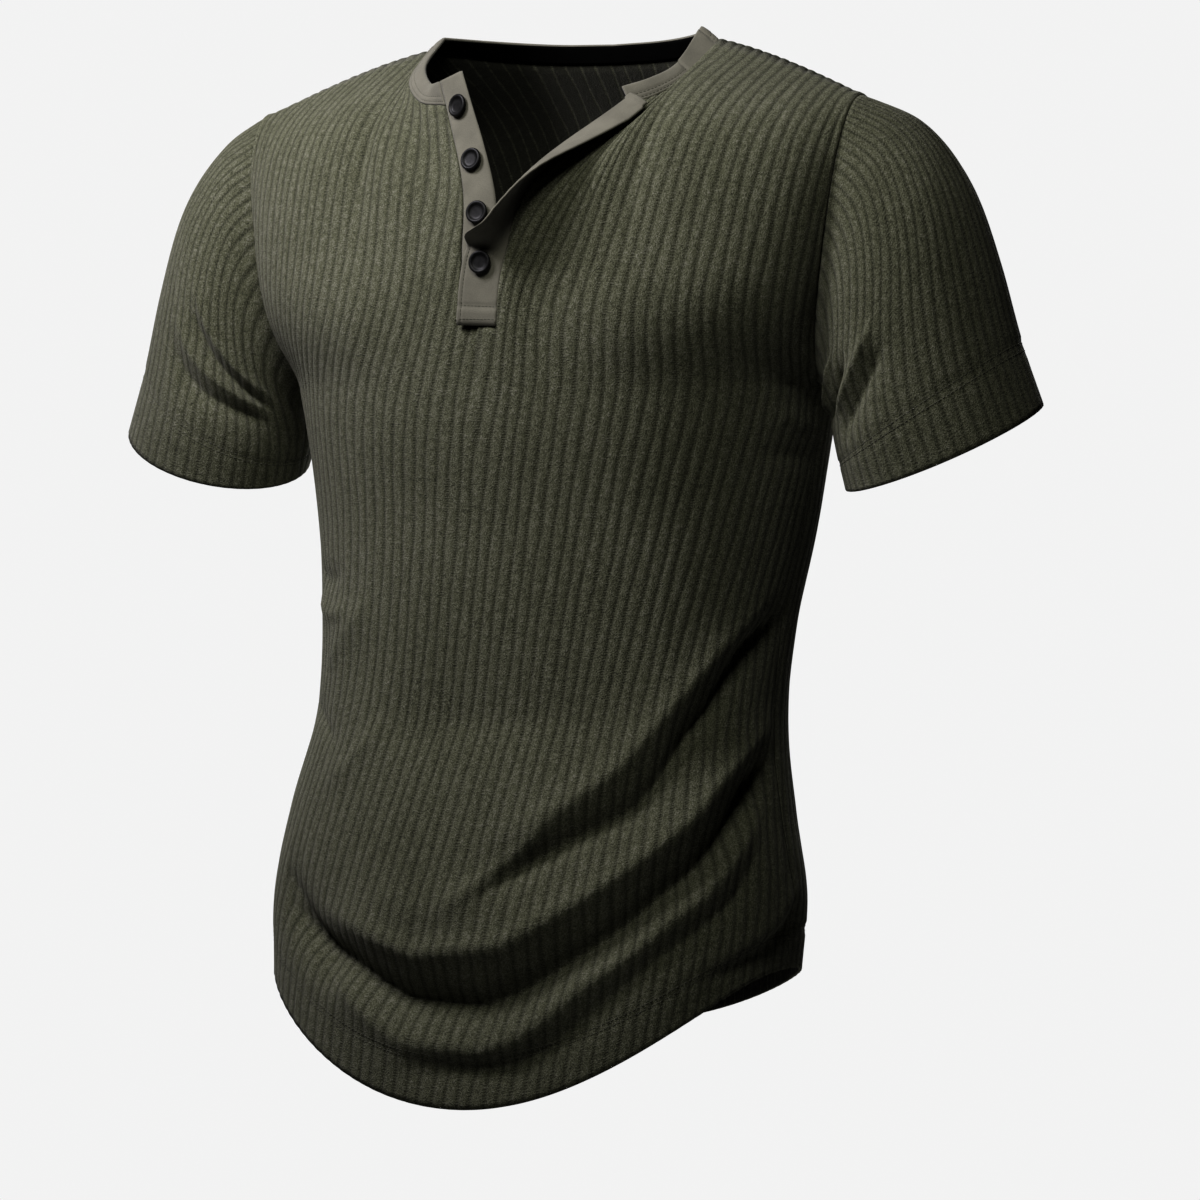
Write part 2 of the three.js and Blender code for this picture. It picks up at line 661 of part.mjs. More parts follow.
const bandFoot = neckPlaces.map(([back, j]) => {
  const seam = (back ? backOuter : frontOuter)[LAST][j];
  return add(seam, unit(sub(rimPoint(back, j), seam)), NECK_GAP[back]);
});
const bandRim = neckPlaces.map(([back, j]) => rimPoint(back, j));
const bandInward = neckPlaces.map((_, k) => {
  const last = neckPlaces.length - 1;
  const along = sub(bandRim[Math.min(k + 1, last)], bandRim[Math.max(k - 1, 0)]);
  return unit(cross(sub(bandRim[k], bandFoot[k]), along));
});
const bandSign = bandInward[NECK_RIBS * 2][1] > 0 ? -1 : 1;
const bandOuter = [bandFoot, bandRim];
const bandInner = [
  neckPlaces.map(([back, j], k) => add(bandFoot[k], panelOut[back][LAST][j], -BAND_WALL)),
  neckPlaces.map((_, k) => add(bandRim[k], bandInward[k], bandSign * BAND_WALL)),
];

// The tape over the seam inside the back of the neck
const tapeColumns = neckPlaces.map((_, k) => k).filter((k) => neckPlaces[k][0] === 1);
const tapeRow = (share, depth) => tapeColumns.map((k) => {
  const p = mix(bandInner[0][k], bandInner[1][k], share);
  const out = unit(sub(mix(bandOuter[0][k], bandOuter[1][k], share), p));
  return add(p, out, -depth);
});
const tapeOuter = [tapeRow(0.04, SEAM_GAP), tapeRow(0.86, SEAM_GAP)];
const tapeInner = [tapeRow(0.04, SEAM_GAP + TAPE_WALL), tapeRow(0.86, SEAM_GAP + TAPE_WALL)];

// A strip's rows: two to each row of the panel, then the end of the neckband
function stripRail(column, bandPlace) {
  const rail = [];
  for (let i = FOOT; i < LAST; i += 1) {
    rail.push([frontOuter[i][column], panelOut[0][i][column]]);
    rail.push([
      mix(frontOuter[i][column], frontOuter[i + 1][column], 0.5),
      unit(add(panelOut[0][i][column], panelOut[0][i + 1][column])),
    ]);
  }
  rail.push([frontOuter[LAST][column], panelOut[0][LAST][column]]);
  rail.push([bandRim[bandPlace], unit(sub(bandOuter[1][bandPlace], bandInner[1][bandPlace]))]);
  const run = [0];
  for (let k = 1; k < rail.length; k += 1) {
    run.push(run[k - 1] + Math.hypot(...sub(rail[k][0], rail[k - 1][0])));
  }
  return rail.map(([p, out], k) => ({ p, out, share: run[k] / run[run.length - 1] }));
}

// Where a strip starts it keeps clear of the foot of the slot
const footLift = (k) => [0, 0, k === 0 ? STRIP_FOOT_GAP : 0];

const underRail = stripRail(SLOT_COLUMNS[0], neckPlaces.length - 1);
const underOuter = underRail.map(({ p, share }, k) => {
  const free = through(UNDERLAP_FREE, share);
  const start = add(p, unit(sub(free, p)), SEAM_GAP);
  const row = [];
  for (let c = 0; c < UNDERLAP_COLUMNS; c += 1) {
    row.push(add(mix(start, free, c / (UNDERLAP_COLUMNS - 1)), footLift(k)));
  }
  return row;
});
const underOut = outward(underOuter, false);
const underInner = underOuter.map((row, k) => row.map((p, c) => add(
  p, c === 0 ? underRail[k].out : underOut[k][c], -STRIP_WALL,
)));

const overRail = stripRail(SLOT_COLUMNS[1], 0);
// The strip's own directions at a place on its rail: across it and out of its face
const stripFrame = (k) => {
  const before = overRail[Math.max(k - 1, 0)].p;
  const after = overRail[Math.min(k + 1, overRail.length - 1)].p;
  const up = unit(sub(after, before));
  const { out } = overRail[k];
  const face = unit(add(out, up, -dot(out, up)));
  const away = unit(cross(up, face));
  return [times(away, away[0] > 0 ? -1 : 1), face];
};
const steady = overRail.filter(({ share }) => share < STEADY_FROM).length - 1;
const overlap = overRail.map(({ p, out, share }, k) => {
  const [across, face] = stripFrame(Math.min(k, steady));
  const [seamTurn, curl] = through(ROLL, share).map((angle) => angle * Math.PI / 180);
  const tilt = STRIP_LIFT / STRIP_WIDTH * (1 - ease(2 * seamTurn));
  const outerRow = [];
  const innerRow = [];
  let at = add(add(p, stripFrame(k)[0], SEAM_GAP), footLift(k));
  const steps = (OVERLAP_COLUMNS - 1) * 4;
  for (let c = 0; c <= steps; c += 1) {
    const q = STRIP_WIDTH * c / steps;
    const turn = tilt + seamTurn * ease(q / TURN_WIDTH) + curl * q / STRIP_WIDTH;
    const ahead = add(times(across, Math.cos(turn)), face, Math.sin(turn));
    const facing = add(times(across, -Math.sin(turn)), face, Math.cos(turn));
    if (c) at = add(at, ahead, STRIP_WIDTH / steps);
    if (c % 4 === 0) {
      outerRow.push(at);
      innerRow.push(add(at, c ? facing : out, -STRIP_WALL));
    }
  }
  return [outerRow, innerRow];
});
const overOuter = overlap.map((row) => row[0]);
const overInner = overlap.map((row) => row[1]);

// A button lies on a strip at a share up and a share across
function seat(grid, rail, up, across) {
  let k = 0;
  while (k < rail.length - 2 && rail[k + 1].share < up) k += 1;
  const t = (up - rail[k].share) / (rail[k + 1].share - rail[k].share);
  const columns = grid[0].length - 1;
  const c = Math.min(Math.floor(across * columns), columns - 1);
  const s = across * columns - c;
  const a = mix(grid[k][c], grid[k][c + 1], s);
  const b = mix(grid[k + 1][c], grid[k + 1][c + 1], s);
  const face = unit(cross(sub(grid[k][c + 1], grid[k][c]), sub(b, a)));
  return [mix(a, b, t), times(face, face[1] > 0 ? -1 : 1)];
}

const group = new THREE.Group();

function place(name, geometry, colour, roughness) {
  const material = new THREE.MeshStandardMaterial({ color: colour, roughness, metalness: 0 });
  const mesh = new THREE.Mesh(geometry, material);
  mesh.name = name;
  group.add(mesh);
  return mesh;
}

const KNIT = 0x4a4c3e;
const JERSEY = 0x5f5e54;
const BUTTON = 0x0d0e10;

place("front_panel", frontBody, KNIT, 0.95);
place("back_panel", backBody, KNIT, 0.95);
place("sleeve_left", sleeveBody(1), KNIT, 0.95);
place("sleeve_right", sleeveBody(-1), KNIT, 0.95);
place("neckband", clothWall(bandOuter, bandInner, {}), JERSEY, 0.9);
place("neck_tape", clothWall(tapeOuter, tapeInner, {}), 0x141412, 0.9);
place("placket_underlap", clothWall(underOuter, underInner, {}), JERSEY, 0.9);
place("placket_overlap", clothWall(overOuter, overInner, {}), JERSEY, 0.9);

const outline = BUTTON_OUTLINE.map(([r, h]) => new THREE.Vector2(r, h));
const buttons = [
  ...BUTTON_SEATS.map(([name, up, across]) => [name, seat(underOuter, underRail, up, across)]),
  [OVERLAP_BUTTON[0], seat(overOuter, overRail, OVERLAP_BUTTON[1], OVERLAP_BUTTON[2])],
];
for (const [name, [at, face]] of buttons) {
  const mesh = place(name, new THREE.LatheGeometry(outline, BUTTON_SIDES), BUTTON, 0.35);
  mesh.position.set(...add(at, face, BUTTON_STAND));
  mesh.quaternion.setFromUnitVectors(new THREE.Vector3(0, 1, 0), new THREE.Vector3(...face));
}

export default group;
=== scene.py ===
# %% [markdown]
# # A ribbed henley shirt, filled out as it is worn
#
# The shirt is cut and sewn from a front, a back and two sleeves of wide rib knit. A smooth
# jersey band finishes the neck, and two jersey strips with four buttons close the front.
# Each piece below is a thin wall of cloth in the form that the frame's solids have, so the
# first step loads that frame.

import math

import bpy
import numpy as np
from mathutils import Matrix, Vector


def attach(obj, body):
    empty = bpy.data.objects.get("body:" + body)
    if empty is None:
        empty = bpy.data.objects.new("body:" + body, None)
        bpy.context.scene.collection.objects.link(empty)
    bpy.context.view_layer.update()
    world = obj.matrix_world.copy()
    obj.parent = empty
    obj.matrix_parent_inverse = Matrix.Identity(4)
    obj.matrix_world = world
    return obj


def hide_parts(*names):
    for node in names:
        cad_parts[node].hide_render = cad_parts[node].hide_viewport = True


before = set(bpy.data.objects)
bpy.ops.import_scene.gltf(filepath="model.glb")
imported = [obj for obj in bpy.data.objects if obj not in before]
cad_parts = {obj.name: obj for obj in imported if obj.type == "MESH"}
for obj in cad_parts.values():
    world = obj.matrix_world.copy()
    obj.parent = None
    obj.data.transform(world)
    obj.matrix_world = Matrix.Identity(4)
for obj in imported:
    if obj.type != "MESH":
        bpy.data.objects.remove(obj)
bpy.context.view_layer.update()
print("frame nodes:", sorted(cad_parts))

# %% [markdown]
# ## The camera
#
# The photograph looks at the shirt from its wearer's left front, a little above the middle,
# through a long lens. A long lens far away keeps the shoulders and the hem in true
# proportion, which is why it is used for clothes. The camera is placed first, because every
# fold below is judged through it.

# %% Place the camera
AZIMUTH = math.radians(28)
CAMERA_DISTANCE = 3.3
LENS_MM, SENSOR_MM = 150, 36
AIM = Vector((0.0168, 0.0089, -0.374))
CAMERA_RISE = 0.1

camera_data = bpy.data.cameras.new("camera")
camera_data.lens = LENS_MM
camera_data.sensor_width = SENSOR_MM
camera = bpy.data.objects.new("camera", camera_data)
bpy.context.scene.collection.objects.link(camera)
camera.location = AIM + Vector((
    math.sin(AZIMUTH) * CAMERA_DISTANCE, -math.cos(AZIMUTH) * CAMERA_DISTANCE, CAMERA_RISE,
))
camera.rotation_euler = (AIM - camera.location).to_track_quat("-Z", "Y").to_euler()
bpy.context.scene.camera = camera
print("camera at", tuple(round(v, 3) for v in camera.location))

# %% [markdown]
# ## Small helpers
#
# A pattern maker gives a few measured sections and lets the cloth run smoothly between
# them. `through` does the same: it lays a smooth curve through the rows of a short table.
# Working with whole arrays of points keeps this quick, because a panel has tens of
# thousands of them.

# %% Helpers for curves and directions
def through(places, values, at):
    """The smooth curve through values, given at places, read off at other places."""
    places, values = np.asarray(places, float), np.asarray(values, float)
    at = np.asarray(at, float)
    shape, at = at.shape, at.reshape(-1)
    spans = np.diff(places)
    tail = (1,) * (values.ndim - 1)
    slopes = np.diff(values, axis=0) / spans.reshape(-1, *tail)
    leans = np.concatenate([slopes[:1], slopes[:-1], slopes[-1:]])
    for k in range(1, len(places) - 1):
        before, after = spans[k - 1], spans[k]
        leans[k] = (slopes[k - 1] * after + slopes[k] * before) / (before + after)
    k = np.clip(np.searchsorted(places, at, side="right") - 1, 0, len(places) - 2)
    span = spans[k].reshape(-1, *tail)
    s = ((at - places[k]) / spans[k]).reshape(-1, *tail)
    curve = (
        (2 * s**3 - 3 * s**2 + 1) * values[k]
        + (s**3 - 2 * s**2 + s) * span * leans[k]
        + (3 * s**2 - 2 * s**3) * values[k + 1]
        + (s**3 - s**2) * span * leans[k + 1]
    )
    return curve.reshape(shape + values.shape[1:])


def ease(t):
    t = np.clip(t, 0, 1)
    return t * t * (3 - 2 * t)


def unit(vectors):
    return vectors / (np.linalg.norm(vectors, axis=-1, keepdims=True) + 1e-12)


def mix(a, b, share):
    return a + (b - a) * share


def outward(grid, flip=False):
    """Directions square to a grid of points, pointing out of the garment."""
    across = np.gradient(grid, axis=1)
    up = np.gradient(grid, axis=0)
    return unit(np.cross(across, up)) * (-1 if flip else 1)


print("a curve through 0, 1, 0 at a quarter:", round(float(through([0, 1, 2], [0, 1, 0], 0.5)), 3))

# %% [markdown]
# ## The cut of the body
#
# The tables hold the shirt's measured sections in millimetres: how wide and how deep it is
# at hem, seat, hip, waist, ribs and underarm, where the armholes run, and where the neckline
# lies. They repeat the frame's own tables, so that each fine wall lies on its solid. Rows
# run from the hem, at 0, to the shoulder, at 1.

# %% Body tables
MM = 0.001
WALL = 1.8
RIBS_HALF = 27.5
NECK_RIBS = 11.5
SLOT_RIBS = 1.5
SLEEVE_RIBS = 48
UNDERARM, SLOT_FOOT, CHEST, YOKE = 0.76, 0.826, 0.88, 0.945

# share, side x, side y, side z, front y, front z, back y, back z, sway, squareness
LEVELS = np.array([
    (0.00, 182, -38, -606, -154, -694, 62, -660, -5, 2.35),
    (0.10, 184, -36, -560, -154, -628, 66, -610, -4, 2.30),
    (0.22, 174, -34, -505, -150, -552, 68, -545, -3, 2.25),
    (0.36, 162, -26, -445, -140, -470, 72, -465, 0, 2.20),
    (0.50, 164, -18, -385, -130, -400, 80, -395, 1, 2.20),
    (0.63, 173, -8, -318, -127, -325, 98, -322, 2, 2.20),
    (0.76, 187, -3, -232, -131, -245, 114, -240, 0, 2.20),
])
CHEST_FRONT, CHEST_BACK = (-124, -158), (110, -142)
CHEST_TURN, YOKE_TURN = 1.78, 0.93
YOKE_SHARE = 0.55
YOKE_SWELL = np.array([(0, 9, 8), (0, 31, 17)])
SHOULDER_BOW = 4

# share from the strip to the shoulder point, seam x, y, z, rim x, y, z
NECK_RIGHT = np.array([
    (0.00, -39.5, -98, -53, -47.3, -92.5, -37),
    (0.30, -68, -81, -49, -64, -75, -36),
    (0.62, -94, -51, -33, -85, -45, -22),
    (1.00, -109, 0, -9, -96, 0, 0),
])
NECK_LEFT = np.array([
    (0.00, 78, -65, -54, 71, -63, -42),
    (0.30, 92.5, -52, -47, 84.5, -50, -36),
    (0.62, 104, -32, -34.5, 93.5, -31, -26),
    (1.00, 109, 0, -9, 96, 0, 0),
])
NECK_BACK = np.array([
    (0.00, 0, 66, -16, 0, 60, -4),
    (0.35, 44, 62, -15, 40, 56, -3),
    (0.70, 84, 42, -12, 75, 36, -1),
    (1.00, 109, 0, -9, 96, 0, 0),
])
# share: right edge of the slot, left edge of the slot, reach of the pull
SLOT = {
    UNDERARM: ((-13.6, -131, -245), (17, -131, -245), 0.15),
    CHEST: ((-12, -126, -150), (22, -129, -151), 0.15),
    YOKE: ((-17, -117, -102), (38, -117, -103), 0.34),
}
MIRROR = np.array([-1, 1, 1])
print("body levels:", len(LEVELS), "hem to underarm")

# %% [markdown]
# ## Armhole and rings
#
# A sleeve is set into an armhole that leans forward at the chest. Below it, each section of
# the body is a rounded ring, flatter than an ellipse in front and behind. Walking a ring in
# equal steps keeps the ribs evenly spaced, as they are in the knit.

# %% Armhole, rings and the top edge
ARMHOLE_CENTRE = (208, -11.5, -141)
ARMHOLE_HALF_HEIGHT = 91
ARMHOLE_TIP_OUT, ARMHOLE_BEND, ARMHOLE_TIP_FORWARD = 17.5, 5, 8.5
ARMHOLE_FRONT, ARMHOLE_BACK = 40, 52
RING_STEPS = 90


def armhole(turn):
    """The armhole seam on the wearer's left: 0 is the shoulder tip, pi the underarm."""
    c, s = np.cos(turn), np.sin(turn)
    depth = np.where(s > 0, ARMHOLE_FRONT, ARMHOLE_BACK)
    x, y, z = ARMHOLE_CENTRE
    return np.stack([
        x + ARMHOLE_TIP_OUT * c - ARMHOLE_BEND * c * c,
        y - ARMHOLE_TIP_FORWARD * c - depth * s,
        z + ARMHOLE_HALF_HEIGHT * c,
    ], -1)


def armhole_turn(share):
    return through([UNDERARM, CHEST, YOKE, 1], [math.pi, CHEST_TURN, YOKE_TURN, 0], share)


def quarter_ring(side, centre, square, rise, f):
    """A ring's quarter from the middle to the side, read off at shares f of its length."""
    a = np.linspace(0, math.pi / 2, RING_STEPS)
    out = np.sin(a) ** (2 / square)
    near = np.cos(a).clip(0) ** (2 / square)
    points = np.stack([
        side[0] * out,
        side[1] + (centre[0] - side[1]) * near,
        centre[1] + (side[2] - centre[1]) * out**rise,
    ], -1)
    run = np.concatenate([[0], np.cumsum(np.linalg.norm(np.diff(points, axis=0), axis=1))])
    return np.stack([np.interp(f * run[-1], run, points[:, k]) for k in range(3)], -1)


def neck_table(back, left):
    if back:
        return NECK_BACK
    if left:
        return NECK_LEFT
    return NECK_RIGHT * np.array([1, -1, 1, 1, -1, 1, 1])


def top_row(back, left, f):
    """The neckline and then the shoulder seam, from the middle to the armhole."""
    table = neck_table(back, left)
    start = 0 if back else SLOT_RIBS / RIBS_HALF
    neck = NECK_RIBS / RIBS_HALF
    share = np.clip((f - start) / (neck - start), 0, 1)
    neckline = through(table[:, 0], table[:, 1:4], share)
    s = np.clip((f - neck) / (1 - neck), 0, 1)[:, None]
    bow = np.array([0, 0, SHOULDER_BOW * 4]) * s * (1 - s) * (1 - 0.4 * s)
    shoulder = mix(table[-1, 1:4], armhole(np.array(0.0)), s) + bow
    return np.where((f < neck)[:, None], neckline, shoulder)


print("shoulder tip at", armhole(np.array(0.0)))

# %% [markdown]
# ## A panel before its folds
#
# Half a panel is a stack of such rings with the chest, the yoke and the top edge above
# them. In front, the two rows beside the slot are pulled to where the open placket holds
# them: hardly on the right, far out on the left, where the flap stands away. Both halves
# together give one grid of points, rows by ribs.

# %% Half a panel
RISE_FRONT, RISE_BACK, CHEST_RISE = 2, 1.8, 1.5
CHEST_SQUARE = 2.15
SWELL_FROM, SWELL_REACH = 0.12, 0.4
PANEL_STEPS = 276


def control_rows(back, left, f):
    """The measured rows from hem to shoulder, read off at shares f from the middle."""
    rows = []
    for _, x, y, z, fy, fz, by, bz, _, square in LEVELS:
        centre = (by, bz) if back else (fy, fz)
        rise = RISE_BACK if back else RISE_FRONT
        rows.append(quarter_ring((x, y, z), centre, square, rise, f))
    turn = -1 if back else 1
    chest = quarter_ring(
        armhole(np.array(turn * CHEST_TURN)), CHEST_BACK if back else CHEST_FRONT,
        CHEST_SQUARE, CHEST_RISE, f,
    )
    swell = ease((f - SWELL_FROM) / SWELL_REACH)[:, None]
    swell = mix(YOKE_SWELL[0], YOKE_SWELL[1], swell)
    raised = mix(chest, top_row(back, False, f), YOKE_SHARE) + swell * np.array([0, -turn, 1])
    yoke = raised + (armhole(np.array(turn * YOKE_TURN)) - raised[-1]) * (f * f)[:, None]
    rows += [chest, yoke, top_row(back, left, f)]
    if not back:
        start = SLOT_RIBS / RIBS_HALF
        for k, (right_edge, left_edge, reach) in zip((-4, -3, -2), SLOT.values()):
            edge = np.array(left_edge if left else right_edge) * (1 if left else MIRROR)
            here = np.array([np.interp(start, f, rows[k][:, c]) for c in range(3)])
            rows[k] = rows[k] + (edge - here) * ease(1 - (f - start) / reach)[:, None]
    return np.stack(rows)


print("measured rows of half a front:", control_rows(False, True, np.linspace(0, 1, 5)).shape)

# %% A whole panel
def plain_panel(back, shares, ribs):
    """Rows at shares of the height, columns at rib counts from the middle."""
    places = [*LEVELS[:, 0], CHEST, YOKE, 1]
    sway = through([*LEVELS[:, 0], 1], [*LEVELS[:, 8], 0], shares)
    sway = np.where(shares < UNDERARM, sway, 0)
    grid = np.zeros((len(shares), len(ribs), 3))
    dense = np.linspace(0, 1, PANEL_STEPS)
    for left in (False, True):
        pick = ribs > 0 if left else ribs <= 0
        f = np.abs(ribs[pick]) / RIBS_HALF
        known = control_rows(back, left, dense)
        rows = np.stack([
            [np.interp(f, dense, row[:, c]) for c in range(3)] for row in known
        ]).transpose(0, 2, 1)
        edge = known[:, -1]
        half = through(places, rows, shares)
        side = through(places, edge, shares)
        turn = armhole_turn(shares) * (-1 if back else 1)
        miss = np.where((shares >= UNDERARM)[:, None], armhole(turn) - side, 0)
        half = half + miss[:, None] * (f**5)[None, :, None]
        half[..., 0] = half[..., 0] * (1 if left else -1) + sway[:, None]
        grid[:, pick] = half
    return grid


test_grid = plain_panel(False, np.linspace(0, 1, 5), np.linspace(-RIBS_HALF, RIBS_HALF, 7))
print("front middle at the hem:", test_grid[0, 3].round(1))

# %% [markdown]
# ## Folds
#
# The shirt is pushed up a little at the wearer's left hip, so creases sweep down from there
# across the front and turn up again at the right. Each fold is a line drawn on the body, by
# its angle from the middle front and its height, with a depth and a softness. A negative
# depth is a trough. A crest and the trough below it make the sharp shadow that such a
# crease throws. A cloth simulation would make folds of its own, and the lines put them
# where the photograph has them. The back, which it does not show, gets a few soft ones.

# %% Fold tables
# depth, half width, length of the fade, then angle and height of points on its line
HIP_FOLDS = [
    (-11, 12, 0.16, [(94, -370), (84, -387), (73, -403), (67, -420), (62, -438), (54, -457),
                    (46, -484), (40, -500), (30, -513), (15, -533), (5, -555), (-1, -564)]),
    (6, 14, 0.3, [(88, -355), (74, -380), (62, -402), (54, -425), (46, -448), (36, -475),
                  (24, -497), (10, -517), (-2, -540)]),
    (8.5, 12, 0.2, [(93, -442), (84, -454), (74, -468), (64, -486), (56, -506), (46, -524),
                    (36, -542), (24, -563), (10, -588), (-6, -596), (-20, -582), (-40, -565)]),
    (6, 8, 0.3, [(22, -500), (14, -526), (5, -550), (-4, -574)]),
    (-14, 13, 0.12, [(93, -464), (84, -476), (76, -489), (71, -501), (66, -514), (60, -528),
                    (53, -542), (46, -553), (38, -570), (28, -589), (13, -616), (5, -627),
                    (-9, -625), (-16, -616), (-25, -603), (-39, -590), (-56, -560)]),
    (6.5, 11, 0.12, [(83, -498), (74, -516), (65, -537), (56, -556), (47, -571), (37, -592),
                   (26, -613), (20, -630), (13, -646), (5, -656), (-9, -652), (-17, -638),
                   (-33, -604)]),
    (-6, 11, 0.2, [(83, -520), (75, -531), (69, -548), (65, -559), (57, -572), (49, -585),
                   (42, -597), (37, -609), (29, -628), (22, -646), (12, -665), (-16, -672)]),
]
SMALL_FOLDS = [
    (4, 12, 0.25, [(91, -540), (90, -558), (82, -574), (69, -588), (58, -602), (54, -613)]),
    (-5, 12, 0.25, [(96, -560), (87, -578), (79, -590), (69, -597), (61, -604), (53, -618)]),
    (-5, 11, 0.2, [(-56, -547), (-45, -567), (-38, -586), (-33, -602), (-24, -625)]),
    (3, 12, 0.3, [(-29, -369), (-36, -387), (-45, -405), (-53, -420)]),
    (3, 12, 0.3, [(-22, -444), (-27, -460), (-34, -479), (-43, -495)]),
]
BACK_FOLDS = [
    (-5, 16, 0.3, [(118, -372), (138, -398), (160, -430), (182, -452)]),
    (5, 15, 0.3, [(122, -402), (144, -436), (168, -466), (186, -486)]),
    (-6, 16, 0.3, [(-100, -470), (-122, -500), (-146, -530), (-172, -548)]),
    (4, 15, 0.3, [(-104, -502), (-130, -536), (-156, -564), (-178, -580)]),
]
BELLY_FORMS = [
    (-11, 55, 0.45, [(-45, -455), (0, -448), (50, -440)]),
    (7, 40, 0.45, [(-35, -560), (0, -570), (25, -568)]),
]
WAIST_AND_ARMPIT_FOLDS = [
    (-3, 7, 0.35, [(-66, -352), (-54, -360), (-40, -356)]),
    (3, 7, 0.35, [(-68, -372), (-52, -382), (-34, -380)]),
    (-3, 7, 0.35, [(-70, -440), (-54, -450), (-38, -470)]),
    (2.6, 5, 0.35, [(94, -236), (84, -224), (70, -208)]),
    (-2.4, 5, 0.35, [(94, -248), (84, -240), (68, -228)]),
    (2.2, 5, 0.35, [(95, -266), (84, -259), (66, -250)]),
    (-2.2, 6, 0.35, [(95, -282), (82, -278), (62, -276)]),
]
FOLDS = HIP_FOLDS + SMALL_FOLDS + BACK_FOLDS + BELLY_FORMS + WAIST_AND_ARMPIT_FOLDS
print("folds:", len(FOLDS))

# %% Read the folds off the body
MM_PER_DEGREE = 2.9
CREST_ROUND, CREST_NARROW = 0.25, 1.35
TOP_SIDE_X, TOP_SIDE_Y = 200, -10
TOP_FRONT_Y, TOP_BACK_Y = -110, 80
BODY_SQUARE = 1.1


def crease(away):
    """A fold's section: a narrow rounded crest or trough with long soft flanks."""
    return np.exp(CREST_ROUND - np.sqrt(CREST_ROUND**2 + (CREST_NARROW * away) ** 2))


def fold_depth(angle, z, folds):
    """How far the folds move each place."""
    total = np.zeros_like(z)
    for depth, width, fade, line in folds:
        points = np.array(line, float) * np.array([MM_PER_DEGREE, 1])
        steps = np.diff(points, axis=0)
        lengths = np.linalg.norm(steps, axis=1)
        run = np.concatenate([[0], np.cumsum(lengths)])
        best = np.full(z.shape, 1e9)
        at = np.zeros_like(z)
        for k, (step, length) in enumerate(zip(steps, lengths)):
            dx, dz = angle * MM_PER_DEGREE - points[k, 0], z - points[k, 1]
            t = np.clip((dx * step[0] + dz * step[1]) / length**2, 0, 1)
            away = np.hypot(dx - t * step[0], dz - t * step[1])
            nearer = away < best
            best = np.where(nearer, away, best)
            at = np.where(nearer, run[k] + t * length, at)
        end = np.minimum(at, run[-1] - at) / run[-1] / fade
        total += depth * ease(end) * crease(best / width)
    return total


def body_angle(back, shares, grid):
    """Degrees round the body from the middle front, positive toward the wearer's left."""
    middle = LEVELS[:, 6] if back else LEVELS[:, 4]
    places = [*LEVELS[:, 0], 1]
    table = np.stack([
        [*LEVELS[:, 1], TOP_SIDE_X], [*LEVELS[:, 2], TOP_SIDE_Y],
        [*middle, TOP_BACK_Y if back else TOP_FRONT_Y], [*LEVELS[:, 8], 0],
    ], -1)
    x, y, centre, sway = (through(places, table, shares)[:, None, k] for k in range(4))
    out = np.abs((grid[..., 0] - sway) / x) ** BODY_SQUARE
    near = ((grid[..., 1] - y) / (centre - y)).clip(0) ** BODY_SQUARE
    angle = np.degrees(np.arctan2(out, near))
    return np.where(grid[..., 0] < sway, -1, 1) * (180 - angle if back else angle)


print("a crease at its middle and one width away:", crease(np.array([0, 1])).round(2))

# %% [markdown]
# ## The fine grid of the body
#
# Each rib gets six columns and the shirt some 150 rows, fine enough for a crease to look
# soft. A row lies exactly at the foot of the front slot, so that the opening's edge is
# clean. Front and back are worked out together, because they lean the same way along the
# seams that join them.

# %% Work out front and back
RIB_COLUMNS = 6
ROW_COUNT = 148
# each edge stops this far short of its seam, so that two pieces never touch
HALF_GAP = 0.15

shares = np.linspace(0, 1, ROW_COUNT)
FOOT_ROW = int(np.argmin(np.abs(shares - SLOT_FOOT)))
shares[FOOT_ROW] = SLOT_FOOT
UNDER_ROW = int(np.argmin(np.abs(shares - UNDERARM)))
shares[UNDER_ROW] = UNDERARM
ribs = np.linspace(-RIBS_HALF, RIBS_HALF, int(2 * RIBS_HALF) * RIB_COLUMNS + 1)
SLOT_LEFT = int(np.argmin(np.abs(ribs - SLOT_RIBS)))
SLOT_RIGHT = int(np.argmin(np.abs(ribs + SLOT_RIBS)))
NECK_LEFT_COLUMN = int(np.argmin(np.abs(ribs - NECK_RIBS)))
NECK_RIGHT_COLUMN = int(np.argmin(np.abs(ribs + NECK_RIBS)))


def share_seams(front_out, back_out):
    """Lean front and back alike along the side seams and the shoulder seams."""
    for rows, columns in (
        (slice(0, UNDER_ROW + 1), 0), (slice(0, UNDER_ROW + 1), -1),
        (-1, slice(0, NECK_RIGHT_COLUMN + 1)), (-1, slice(NECK_LEFT_COLUMN, None)),
    ):
        shared = unit(front_out[rows, columns] + back_out[rows, columns])
        front_out[rows, columns] = shared
        back_out[rows, columns] = shared
    return [front_out, back_out]


print("rows:", ROW_COUNT, "slot opens at row", FOOT_ROW, "columns:", len(ribs))

# %% Lay the folds on front and back
plain = [plain_panel(back, shares, ribs) for back in (False, True)]
plain_out = share_seams(outward(plain[0]), outward(plain[1], flip=True))
body = []
for back in (0, 1):
    angle = body_angle(bool(back), shares, plain[back])
    depth = sum(
        fold_depth(angle + turn, plain[back][..., 2], FOLDS) for turn in (0, 360, -360)
    )
    body.append(plain[back] + plain_out[back] * depth[..., None])
body_out = share_seams(outward(body[0]), outward(body[1], flip=True))
for grid in body:
    edges = [unit(grid[:, 1] - grid[:, 0]), unit(grid[:, -2] - grid[:, -1])]
    top = unit(grid[-2] - grid[-1])
    grid[:, 0] += edges[0] * HALF_GAP
    grid[:, -1] += edges[1] * HALF_GAP
    grid[-1] += top * HALF_GAP
print("body grid:", body[0].shape[:2], "rows by columns")
